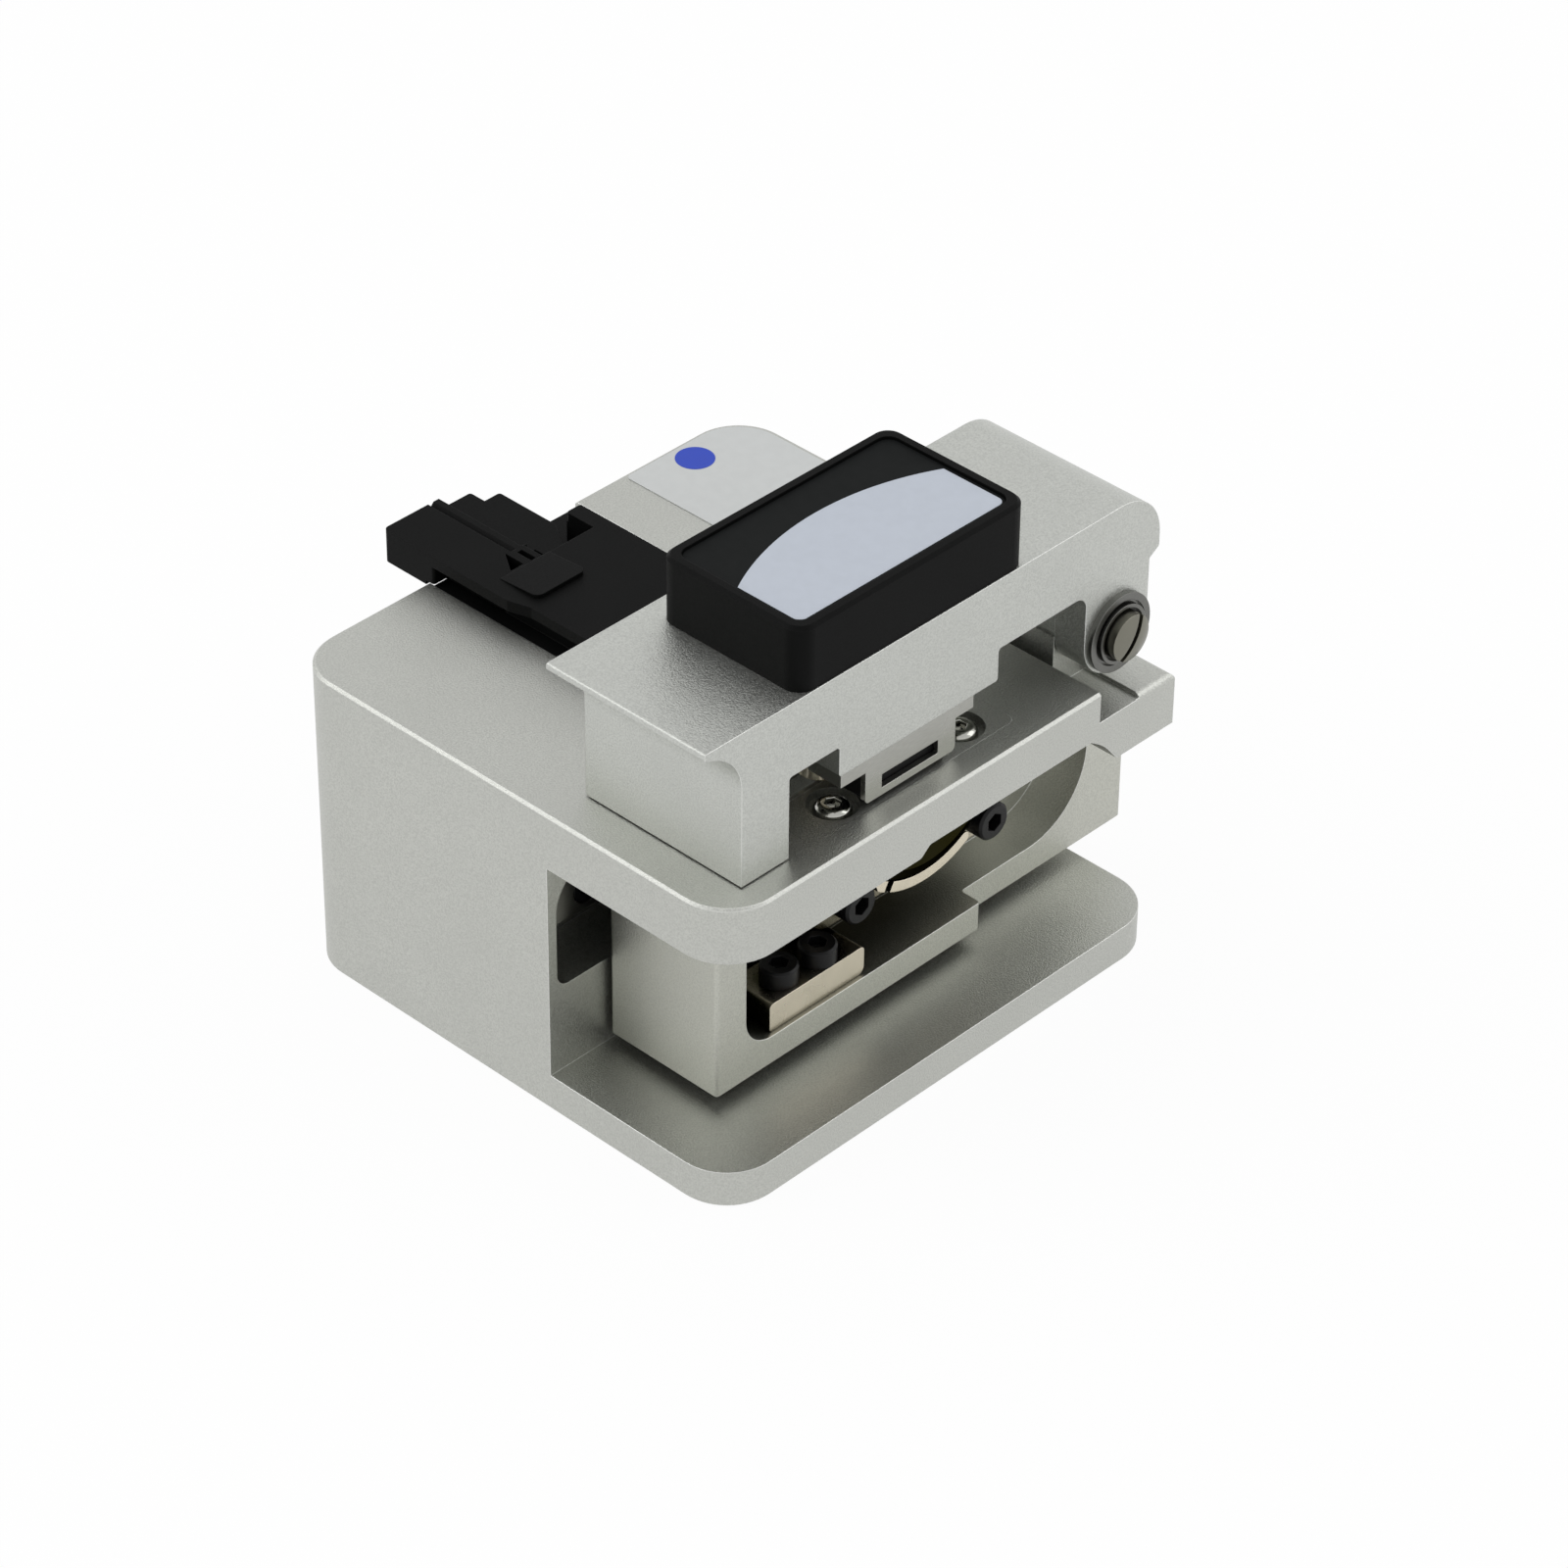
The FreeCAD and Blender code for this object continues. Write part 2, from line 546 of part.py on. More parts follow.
def dish():
    """Open dish round the blade's lower half, slit on the left, its rim ending short of the right screw."""
    y0 = HOLDER_Y[0]
    floor = y0 - DISH_FLOOR
    reach = 2 * DISH_R
    shell = rod_y(BLADE_X, DISH_FRONT, y0, BLADE_Z, DISH_R)
    shell = shell.cut(rod_y(BLADE_X, DISH_FRONT - 1, floor, BLADE_Z, DISH_IN))
    shell = shell.cut(box(BLADE_X - reach, BLADE_X + reach, 0, BASE_D, BLADE_Z - 3.2, BLADE_Z + reach))
    end = math.radians(DISH_END)
    past = [(BLADE_X, BLADE_Z, 0), (BLADE_X + reach * math.sin(end), BLADE_Z - reach * math.cos(end), 0),
            (BLADE_X + reach, BLADE_Z, 0)]
    shell = shell.cut(front_solid(past, DISH_FRONT - 1, floor))
    middle = (DISH_R + DISH_IN) / 2
    tip_r = (DISH_R - DISH_IN) / 2 - 0.01
    shell = shell.fuse(rod_y(BLADE_X + middle * math.sin(end), DISH_FRONT, y0,
                             BLADE_Z - middle * math.cos(end), tip_r))
    slit = box(-SLIT_HALF, SLIT_HALF, DISH_FRONT - 1, floor, -DISH_R - 1, -DISH_IN + 1)
    slit.rotate(V(0, 0, 0), V(0, 1, 0), DISH_SLIT)
    slit.translate(V(BLADE_X, 0, BLADE_Z))
    shell = shell.cut(slit)
    for x in HOLDER_SCREW_XS:
        shell = shell.cut(rod_y(x, DISH_FRONT - 1, y0, HOLDER_SCREW_Z, HOLDER_HEAD_R + 0.3))
    return shell


def blade_holder():
    """Plate with a raised middle that carries the blade's shaft and its dish."""
    y0, y1 = HOLDER_Y
    left = BLADE_X - HOLDER_HALF
    right = BLADE_X + HOLDER_HALF
    low = HOLDER_SCREW_Z - 3.2
    shoulder = BLADE_Z - 1.5
    crown = BLADE_Z + 2.7
    plate = front_solid([(left, low, 2.6), (right, low, 2.6), (right, shoulder, 2.6),
                         (BLADE_X + 4.5, shoulder, 1.0), (BLADE_X + 4.5, crown, 2.5),
                         (BLADE_X - 4.5, crown, 2.5), (BLADE_X - 4.5, shoulder, 1.0),
                         (left, shoulder, 2.6)], y0, y1)
    holder = plate.fuse(dish()).fuse(rod_y(BLADE_X, y0 - 1.3, y0, BLADE_Z, HUB_R))
    for x in HOLDER_SCREW_XS:
        holder = holder.cut(rod_y(x, y0 - 1, y1 + 1, HOLDER_SCREW_Z, HOLDER_SCREW_R + SEAT_GAP))
    return holder.cut(rod_y(BLADE_X, 0, BASE_D, BLADE_Z, SHAFT_R))


def holder_screws():
    return group([cap_screw_y(x, HOLDER_Y[0], HOLDER_SCREW_Z, HOLDER_HEAD_R, 2.9, HOLDER_SCREW_R, 7.0)
                  for x in HOLDER_SCREW_XS])


def stop_bar():
    x0, x1, y0, y1, z0, z1 = BAR
    bar = front_solid([(x0, z0, 0.4), (x1, z0, 0.9), (x1, z1, 0.5), (x0, z1, 0.5)], y0, y1)
    for x, y in BAR_SCREWS:
        bar = bar.cut(rod_z(x, y, 0, z1 + 1, BAR_SCREW_R + SEAT_GAP))
    return bar


def stop_bar_screws():
    length = BAR[5] - CAR_FLOOR + 2.4
    return group([cap_screw_z(x, y, BAR[5], 1.9, 1.9, BAR_SCREW_R, length) for x, y in BAR_SCREWS])


# ---- blade --------------------------------------------------------------------------
SHAFT_R = 1.2
HUB_R = 2.6


def blade():
    """Carbide disc ground to a double bevel at the rim."""
    half = BLADE_T / 2
    rim = 0.08
    bevel = 1.1
    hole = SHAFT_R + RUN
    solid = turned([(hole, -half, 0), (BLADE_R - bevel, -half, 0), (BLADE_R, -rim, 0),
                    (BLADE_R, rim, 0), (BLADE_R - bevel, half, 0), (hole, half, 0)])
    solid.translate(V(BLADE_X, BLADE_Y, BLADE_Z))
    return solid


def blade_hub():
    """Flange behind the blade, with a larger collar against it."""
    y0 = BLADE_Y + BLADE_T / 2
    y1 = HOLDER_Y[0] - 1.4
    bore = SHAFT_R + RUN
    hub = turned([(bore, y0, 0), (HUB_R, y0, 0), (HUB_R, y0 + 0.5, 0), (HUB_R - 0.5, y0 + 0.5, 0),
                  (HUB_R - 0.5, y1, 0), (bore, y1, 0)])
    hub.translate(V(BLADE_X, 0, BLADE_Z))
    return hub


def blade_shaft():
    """Pin through the holder, with its cheese head in front of the blade."""
    front = BLADE_Y - BLADE_T / 2
    head = rod_y(BLADE_X, front - 0.85, front - 0.05, BLADE_Z, 2.5)
    head = head.cut(box(BLADE_X - 3, BLADE_X + 3, front - 2, front - 0.5, BLADE_Z - 0.3, BLADE_Z + 0.3))
    return head.fuse(rod_y(BLADE_X, front - 0.05, HOLDER_Y[1] + 2.3, BLADE_Z, SHAFT_R - 0.01))


def shaft_nut():
    y0 = HOLDER_Y[1]
    hexagon = Part.makePolygon([V(BLADE_X + 2.4 * math.cos(math.radians(60 * k)), y0,
                                  BLADE_Z + 2.4 * math.sin(math.radians(60 * k))) for k in range(7)])
    nut = Part.Face(hexagon).extrude(V(0, 1.6, 0))
    return nut.cut(rod_y(BLADE_X, y0 - 1, y0 + 3, BLADE_Z, SHAFT_R))


# ---- lid ----------------------------------------------------------------------------
FOOT_L = 4.6
FOOT_R = 10.6
COVE_R = 5.5
COVE_Z = 48.8            # where the cove's tangents meet
LIP_T = 0.7
WINDOW_TOP = 43.45
LEFT_WINDOW_R = 17.05
BAND_LOW = 40.15         # lower edge of the flange between the windows
BAND_R = 38.0
JAMB_X = PIVOT_X - LUG_R
NOSE_X = 60.1
NOSE_Z = 44.4
POCKET_TOP = 46.4
POCKET_R = 41.5          # right of this the lid is solid above the arch
ARCH_R = 47.9
ARCH_TOP = 39.65
LID_MAGNET_H = 2.2
CAP_SCREW_XS = (14.5, 39.0)
CAP_SCREW_R = 1.0
POST_X = 21.5
POST_Y = 9.55
POST_R = 2.25
POST_LOW = 35.4
GUIDE_DX = 4.0
GUIDE_R = 0.8
SPRING_BORE = 1.45
GUIDE_TOP = 47.2
ANVIL_BORE_TOP = 50.0


def lid_profile():
    """Front view of the lid: lip and cove, foot, windows, hinge ear and bullnose."""
    right = PIVOT_X + LUG_R
    return [(0.0, LID_TOP, 0.2), (0.0, LID_TOP - LIP_T, 0.2), (FOOT_L, COVE_Z, COVE_R),
            (FOOT_L, LID_FOOT, 0), (FOOT_R, LID_FOOT, 0), (FOOT_R, WINDOW_TOP, 0.4),
            (LEFT_WINDOW_R, WINDOW_TOP, 0.4), (LEFT_WINDOW_R, BAND_LOW, 0.3), (BAND_R, BAND_LOW, 0.3),
            (BAND_R, WINDOW_TOP + 0.2, 0.4), (JAMB_X, WINDOW_TOP + 0.2, 1.5),
            (JAMB_X, PIVOT_Z - LUG_R, LUG_R - 0.01), (right, PIVOT_Z - LUG_R, LUG_R - 0.01),
            (right, NOSE_Z - 0.8, 0.3), (NOSE_X, NOSE_Z, 0.3), (NOSE_X, LID_TOP, 5.6)]


def hinge_room():
    """Space between the ears for the knuckle, through the whole swing."""
    left = PIVOT_X - KNUCKLE_HALF - 0.25
    ears = (LID_FRONT + LUG_T, LID_BACK - LUG_T)
    return box(left, NOSE_X + 5, ears[0], ears[1], 30, NOSE_Z - 1.0)


def lid_body():
    inner = (LID_FRONT + LUG_T, LID_BACK - LUG_T)
    lid = front_solid(lid_profile(), LID_FRONT, LID_BACK)
    lid = lid.cut(box(FOOT_R, POCKET_R, inner[0], inner[1], 30, POCKET_TOP))
    lid = lid.cut(front_solid([(POCKET_R - 1, 30, 0), (ARCH_R, 30, 0), (ARCH_R, ARCH_TOP, 3.4),
                               (POCKET_R - 1, ARCH_TOP, 0)], *inner))
    lid = lid.cut(hinge_room())
    lid = lid.cut(rod_y(PIVOT_X, LID_FRONT - 1, LID_BACK + 1, PIVOT_Z, PIN_R + SEAT_GAP))
    lid = lid.cut(rod_z(MAGNET_X, MAGNET_Y, LID_FOOT - 1, LID_FOOT + LID_MAGNET_H, MAGNET_R))
    for dx in (-GUIDE_DX, GUIDE_DX):
        lid = lid.cut(rod_z(CLAMP_X + dx, FRONT_PAD_Y, BAND_LOW - 1, GUIDE_TOP, SPRING_BORE))
    lid = lid.cut(rod_z(ANVIL_X, BLADE_Y, POCKET_TOP - 1, ANVIL_BORE_TOP, GUIDE_R + RUN))
    for x in CAP_SCREW_XS:
        lid = lid.cut(rod_z(x, MAGNET_Y, POCKET_TOP - 1, LID_TOP + 1, CAP_SCREW_R + SEAT_GAP))
    return lid.cut(rod_z(POST_X, POST_Y, POCKET_TOP - 1, POCKET_TOP + 2, 1.2))


def lid_magnet():
    return rod_z(MAGNET_X, MAGNET_Y, LID_FOOT, LID_FOOT + LID_MAGNET_H, MAGNET_R)


def lid_post():
    """Nickelled stop post beside the clamp, pressed into the lid's ceiling."""
    post = rod_z(POST_X, POST_Y, POST_LOW, POCKET_TOP, POST_R)
    post = break_edges(post, 0.3, lambda bb: level(bb, POST_LOW))
    return post.fuse(rod_z(POST_X, POST_Y, POCKET_TOP, POCKET_TOP + 2, 1.2))


def cap_plan(inset):
    r = 1.9 - inset * 0.5
    return [(CAP_L + inset, CAP_FRONT + inset, r), (CAP_R - inset, CAP_FRONT + inset, r),
            (CAP_R - inset, CAP_BACK - inset, r), (CAP_L + inset, CAP_BACK - inset, r)]


CAP_WALL = 1.3
CAP_RIM = 1.1
CAP_RECESS = 0.55
LABEL_T = 0.25


def lid_cap():
    """Moulded cover: rounded walls, raised rim round the label, two screw bosses."""
    cap = plan_solid(cap_plan(0), LID_TOP, CAP_TOP)
    cap = break_edges(cap, 0.35, lambda bb: level(bb, CAP_TOP))
    cap = cap.cut(plan_solid(cap_plan(CAP_WALL), LID_TOP - 1, CAP_TOP - CAP_RECESS - CAP_WALL))
    cap = cap.cut(plan_solid(cap_plan(CAP_RIM), CAP_TOP - CAP_RECESS, CAP_TOP + 1))
    for x in CAP_SCREW_XS:
        cap = cap.fuse(rod_z(x, MAGNET_Y, LID_TOP, CAP_TOP - CAP_RECESS - CAP_WALL, 2.2))
        cap = cap.cut(rod_z(x, MAGNET_Y, LID_TOP - 1, LID_TOP + 3.5, CAP_SCREW_R + SEAT_GAP))
    return cap


def cap_label():
    z0 = CAP_TOP - CAP_RECESS
    return plan_solid(cap_plan(CAP_RIM + 0.08), z0, z0 + LABEL_T)


def cap_screws():
    screws = []
    for x in CAP_SCREW_XS:
        screw = plain_screw_y(0, 0, 0, 1.9, 1.2, CAP_SCREW_R, LID_TOP - POCKET_TOP + 3.2)
        screw.rotate(V(0, 0, 0), V(1, 0, 0), 90)
        screw.translate(V(x, MAGNET_Y, POCKET_TOP))
        screws.append(screw)
    return group(screws)


WASHER_T = 1.0
WASHER_SEAT = 0.3        # thickness left under the screw's head
HEAD_L = 2.1
HEAD_R = 2.45
WASHER_R = 4.12
SHIM_R = 3.2


def hinge_screw():
    """Shoulder screw through both ears and the knuckle, slotted domed head in front."""
    seat = LID_FRONT - WASHER_SEAT
    head = domed_head(HEAD_R, HEAD_L - 0.45, HEAD_L)
    slot = box(-HEAD_R - 1, HEAD_R + 1, -HEAD_L - 1, -HEAD_L + 1.0, -0.32, 0.32)
    slot.rotate(V(0, 0, 0), V(0, 1, 0), -57)
    head = head.cut(slot).fuse(rod_y(0, 0, LID_BACK - 0.3 - seat, 0, PIN_R))
    head.translate(V(PIVOT_X, seat, PIVOT_Z))
    return head


def front_washer():
    """Turned washer: outer ring, groove, raised ring and a recess for the head."""
    outer = -WASHER_T + 0.35
    inner = -WASHER_T
    washer = turned([(PIN_R + SEAT_GAP, 0, 0), (WASHER_R, 0, 0), (WASHER_R, outer, 0), (3.4, outer, 0),
                     (3.4, outer + 0.35, 0), (3.1, outer + 0.35, 0), (3.1, inner, 0), (2.75, inner, 0),
                     (2.75, -WASHER_SEAT, 0), (PIN_R + SEAT_GAP, -WASHER_SEAT, 0)])
    washer.translate(V(PIVOT_X, LID_FRONT, PIVOT_Z))
    return washer


def hinge_washers():
    """Washer under the head, thin shims between ears and knuckle."""
    solids = [front_washer()]
    front_gap = (LID_FRONT + LUG_T, KNUCKLE_Y[0])
    rear_gap = (KNUCKLE_Y[1], LID_BACK - LUG_T)
    for y0, y1 in (front_gap, rear_gap):
        shim = rod_y(PIVOT_X, y0 + SEAT_GAP, y1 - SEAT_GAP, PIVOT_Z, SHIM_R)
        solids.append(shim.cut(rod_y(PIVOT_X, 0, BASE_D, PIVOT_Z, PIN_R + SEAT_GAP)))
    return group(solids)


# ---- clamps and anvil under the lid -------------------------------------------------
BRACKET_LOW = 35.0
BAR_LOW = 38.55
FRONT_BAR = (17.5, 35.0)
SKIRT_JAMBS = (2.15, 2.3)     # either side of the skirt's window
SKIRT_SILL = 35.8
SKIRT_HEAD = 37.3
SHEET = 0.6
BRACKET_HALF = 2.05
REAR_BAR_HALF = 7.0
SHOE_HALF = 1.35
SHOE_X = (CLAMP_X - CLAMP_W / 2 + 0.4, CLAMP_X + CLAMP_W / 2 - 0.4)
PAD_LOW = PAD_TOP + 0.06
UPPER_PAD_TOP = 37.5
SHOE_TOP = 37.9             # its travel of 0.5 ends just under the bar
SPRING_R = 1.3
WIRE_T = 0.28
ANVIL_R = 1.8
ANVIL_HEAD_TOP = 38.6
ANVIL_TRAVEL = 0.8
ANVIL_SPRING_R = 1.49


def clamp_bracket(y, left, right, top):
    """Bar under the lid with a windowed skirt on each side of the sprung shoe."""
    bar = box(left, right, y - BRACKET_HALF, y + BRACKET_HALF, BAR_LOW, top)
    x0 = CLAMP_X - CLAMP_W / 2
    x1 = CLAMP_X + CLAMP_W / 2
    left_jamb = x0 + SKIRT_JAMBS[0]
    right_jamb = x1 - SKIRT_JAMBS[1]
    window = front_solid([(left_jamb, SKIRT_SILL, 0.1), (right_jamb, SKIRT_SILL, 0.1),
                          (right_jamb, SKIRT_HEAD, 0.1), (left_jamb, SKIRT_HEAD, 0.1)], 0, BASE_D)
    for face in (y - BRACKET_HALF, y + BRACKET_HALF - SHEET):
        skirt = front_solid([(x0, BRACKET_LOW, 0.5), (x1, BRACKET_LOW, 0.5),
                             (x1, BAR_LOW, 0), (x0, BAR_LOW, 0)], face, face + SHEET)
        bar = bar.fuse(skirt.cut(window))
    for dx in (-GUIDE_DX, GUIDE_DX):
        bar = bar.cut(rod_z(CLAMP_X + dx, y, 0, top + 1, SPRING_BORE))
        if top > BAR_LOW + 3:
            bar = bar.fuse(rod_z(CLAMP_X + dx, y, top - 0.6, top, SPRING_BORE))
    return bar


def clamp_brackets():
    front = clamp_bracket(FRONT_PAD_Y, *FRONT_BAR, BAND_LOW - 0.02)
    rear = clamp_bracket(REAR_PAD_Y, CLAMP_X - REAR_BAR_HALF, CLAMP_X + REAR_BAR_HALF, POCKET_TOP)
    return group([front, rear])


def clamp_shoe(y):
    """Floating shoe with two guide pins."""
    shoe = box(SHOE_X[0], SHOE_X[1], y - SHOE_HALF, y + SHOE_HALF, UPPER_PAD_TOP, SHOE_TOP)
    for dx in (-GUIDE_DX, GUIDE_DX):
        shoe = shoe.fuse(rod_z(CLAMP_X + dx, y, SHOE_TOP, SHOE_TOP + 2.6, GUIDE_R))
    return shoe


def clamp_pad(y):
    return box(SHOE_X[0], SHOE_X[1], y - SHOE_HALF, y + SHOE_HALF, PAD_LOW, UPPER_PAD_TOP)


def spring_sleeve(x, y, z0, z1, outer):
    """Envelope of a compression spring: the sleeve that its coils fill."""
    return rod_z(x, y, z0, z1, outer).cut(rod_z(x, y, z0 - 1, z1 + 1, outer - WIRE_T))


def clamp_springs(y, top):
    return group([spring_sleeve(CLAMP_X + dx, y, SHOE_TOP, top, SPRING_R) for dx in (-GUIDE_DX, GUIDE_DX)])


def anvil():
    """Stem with a flanged head that presses the fibre down on the blade."""
    head = rod_z(ANVIL_X, BLADE_Y, PAD_LOW + 1.1, ANVIL_HEAD_TOP, ANVIL_R)
    return head.fuse(rod_z(ANVIL_X, BLADE_Y, ANVIL_HEAD_TOP, ANVIL_BORE_TOP - ANVIL_TRAVEL - 0.4, GUIDE_R))


def anvil_pad():
    return rod_z(ANVIL_X, BLADE_Y, PAD_LOW + 0.1, PAD_LOW + 1.1, ANVIL_R)


def anvil_spring():
    return spring_sleeve(ANVIL_X, BLADE_Y, ANVIL_HEAD_TOP, POCKET_TOP, ANVIL_SPRING_R)


# ---- adapter ------------------------------------------------------------------------
PLATE_L = 18.65
PLATE_R = 34.05
PLATE_T = 1.2
WEB_IN = 1.2             # the plate overhangs its web by this
BLOCK_Y = 49.7           # the grooved rear block starts here
LEFT_BLOCK_R = 25.7      # right side of its higher, left part
LEFT_WALL_Y = 56.8       # its left wall is full height behind this
UNDERCUT_L = 19.6
RIGHT_BLOCK_TOP = 36.5
RIGHT_BLOCK_R = 31.1
TAB_L = 32.2             # tab at the plate's right rear corner
TAB_BACK = 53.4
BASE_BLOCK_TOP = 34.2
OVERHANG_LOW = 34.0
FOOT_GAP = 0.12
TONGUE_X = (19.9, 26.3)
TONGUE_L = 5.1
TONGUE_LIFT = 0.45


def adapter_body():
    """Slide-in fibre holder: keyed base, thin top plate, grooved block out at the back."""
    left = CHANNEL_L + FOOT_GAP
    right = CHANNEL_R - FOOT_GAP
    body = box(left, right, ADAPTER_FRONT, BASE_D - 0.6, CHANNEL_Z + 0.05, BASE_BLOCK_TOP)
    web_right = PLATE_R - WEB_IN
    web = box(PLATE_L + WEB_IN, web_right, ADAPTER_FRONT, BLOCK_Y - 0.6, BASE_BLOCK_TOP - 1, ADAPTER_TOP - 1)
    rib = box(TAB_L, web_right, BLOCK_Y - 1, TAB_BACK, BASE_BLOCK_TOP - 1, ADAPTER_TOP - 1)
    body = body.fuse(web).fuse(rib).fuse(adapter_plate())
    body = body.fuse(left_block()).fuse(right_block())
    body = body.cut(fibre_groove(24.1, 0.35, 0.4))
    body = body.cut(fibre_groove(LEFT_BLOCK_R - 0.15, 0.4, 1.6))
    for pit in PITS:
        body = body.cut(plan_solid(pit, BASE_BLOCK_TOP + 0.6, ADAPTER_TOP + 1))
    fibre = rod_y(FIBRE_X, ADAPTER_FRONT - 1, BLOCK_Y + 1, ADAPTER_TOP - 1.9, 0.45)
    return body.cut(fibre)


# Openings behind the plate where each size of fibre drops in; the first is three-sided.
PITS = ([(21.5, 49.95, 0), (23.2, 49.95, 0), (23.2, 52.5, 0)],
        [(24.1, 49.85, 0.1), (24.75, 49.85, 0.1), (24.75, 51.8, 0.1), (24.1, 51.8, 0.1)],
        [(25.4, 49.8, 0.1), (26.75, 49.8, 0.1), (26.75, 52.1, 0.1), (25.4, 52.1, 0.1)])


def adapter_plate():
    """Thin top plate with a tab at its right rear corner."""
    return plan_solid([(PLATE_L, ADAPTER_FRONT, 0.3), (PLATE_R, ADAPTER_FRONT, 0.3),
                       (PLATE_R, TAB_BACK, 0.3), (TAB_L, TAB_BACK, 0.3), (TAB_L, BLOCK_Y, 0),
                       (CHANNEL_L, BLOCK_Y, 0), (CHANNEL_L, BLOCK_Y - 3, 0.2),
                       (PLATE_L, BLOCK_Y - 5.5, 0.5)], ADAPTER_TOP - PLATE_T, ADAPTER_TOP)


def left_block():
    """Higher left part of the rear block, undercut towards the front."""
    low = BASE_H + 0.05
    top = plan_solid([(CHANNEL_L, BLOCK_Y - 0.5, 0), (LEFT_BLOCK_R, BLOCK_Y - 0.5, 0),
                      (LEFT_BLOCK_R, ADAPTER_BACK, 0.3), (CHANNEL_L, ADAPTER_BACK, 0.6)],
                     ADAPTER_TOP - PLATE_T, ADAPTER_TOP)
    wall = plan_solid([(UNDERCUT_L, BLOCK_Y - 0.5, 0), (LEFT_BLOCK_R, BLOCK_Y - 0.5, 0),
                       (LEFT_BLOCK_R, ADAPTER_BACK, 0.3), (CHANNEL_L, ADAPTER_BACK, 0.6),
                       (CHANNEL_L, LEFT_WALL_Y, 0.3), (UNDERCUT_L, LEFT_WALL_Y, 0.3)],
                      low, ADAPTER_TOP - 0.5)
    overhang = plan_solid([(CHANNEL_L, BASE_D + 0.3, 0), (LEFT_BLOCK_R, BASE_D + 0.3, 0),
                           (LEFT_BLOCK_R, ADAPTER_BACK, 0.3), (CHANNEL_L, ADAPTER_BACK, 0.6)],
                          OVERHANG_LOW, low)
    return top.fuse(wall).fuse(overhang)


def right_block():
    """Lower right part: its front corner cut away beside the tab, its rear end stepped."""
    front = BLOCK_Y - 0.5
    corner_x = 28.6
    step_x = 29.1
    step_y = ADAPTER_BACK - 2.2
    back = ADAPTER_BACK - 0.2
    return plan_solid([(LEFT_BLOCK_R - 1, front, 0), (corner_x, front, 0), (corner_x, BLOCK_Y + 0.2, 0),
                       (RIGHT_BLOCK_R, TAB_BACK + 0.4, 0), (RIGHT_BLOCK_R, step_y, 0.3),
                       (step_x, step_y, 0), (step_x, back, 0.3), (LEFT_BLOCK_R - 1, back, 0)],
                      BASE_BLOCK_TOP, RIGHT_BLOCK_TOP)


def fibre_groove(x, r, deep):
    """Groove for one size of fibre along the rear block's top."""
    return front_solid([(x - r, ADAPTER_TOP + 0.1, 0), (x + r, ADAPTER_TOP + 0.1, 0),
                        (x + r, ADAPTER_TOP, 0), (x, ADAPTER_TOP - deep, 0), (x - r, ADAPTER_TOP, 0)],
                       BLOCK_Y + 2.6, ADAPTER_BACK + 1)


def adapter_tongue():
    """Spring leaf on the plate, lifted at its free front end."""
    left, right = TONGUE_X
    front = BLOCK_Y - TONGUE_L
    lifted = ADAPTER_TOP + TONGUE_LIFT
    leaf = plan_solid([(left, front, 0.8), (right, front, 0.8), (right, BLOCK_Y, 0), (left, BLOCK_Y, 0)],
                      ADAPTER_TOP, lifted)
    wedge = side_solid([(front, ADAPTER_TOP, 0), (BLOCK_Y, ADAPTER_TOP, 0),
                        (BLOCK_Y, ADAPTER_TOP + 0.05, 0), (front, lifted, 0)], left - 1, right + 1)
    return leaf.common(wedge)


# ---- write every node ---------------------------------------------------------------
save("main_body", main_body())
save("linear_rail", linear_rail())
save("rail_screws", rail_screws())
save("stop_pins", stop_pins())
save("front_lower_clamp", lower_clamp(FRONT_CLAMP_Y))
save("rear_lower_clamp", lower_clamp(REAR_CLAMP_Y))
save("lower_pads", lower_pads())
save("lower_clamp_screws", lower_clamp_screws())
save("hinge_bushes", hinge_bushes())
save("base_magnet", base_magnet())

save("carriage_body", carriage_body())
save("rail_block", rail_block())
save("rail_block_screws", rail_block_screws())
save("blade_holder", blade_holder())
save("holder_screws", holder_screws())
save("blade_shaft", blade_shaft())
save("shaft_nut", shaft_nut())
save("stop_bar", stop_bar())
save("stop_bar_screws", stop_bar_screws())

save("blade", blade())
save("blade_hub", blade_hub())

save("lid_body", lid_body())
save("lid_magnet", lid_magnet())
save("lid_post", lid_post())
save("lid_cap", lid_cap())
save("cap_label", cap_label())
save("cap_screws", cap_screws())
save("hinge_screw", hinge_screw())
save("hinge_washers", hinge_washers())
save("clamp_brackets", clamp_brackets())

save("front_clamp_shoe", clamp_shoe(FRONT_PAD_Y))
save("front_clamp_pad", clamp_pad(FRONT_PAD_Y))
save("front_clamp_springs", clamp_springs(FRONT_PAD_Y, GUIDE_TOP))
save("rear_clamp_shoe", clamp_shoe(REAR_PAD_Y))
save("rear_clamp_pad", clamp_pad(REAR_PAD_Y))
save("rear_clamp_springs", clamp_springs(REAR_PAD_Y, POCKET_TOP - 0.6))
save("anvil", anvil())
save("anvil_pad", anvil_pad())
save("anvil_spring", anvil_spring())

save("adapter_body", adapter_body())
save("adapter_tongue", adapter_tongue())
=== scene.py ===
"""Looks of the precision fibre cleaver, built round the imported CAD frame.  Metres, z up."""

import json
import math

import bmesh
import bpy
from mathutils import Matrix, Vector

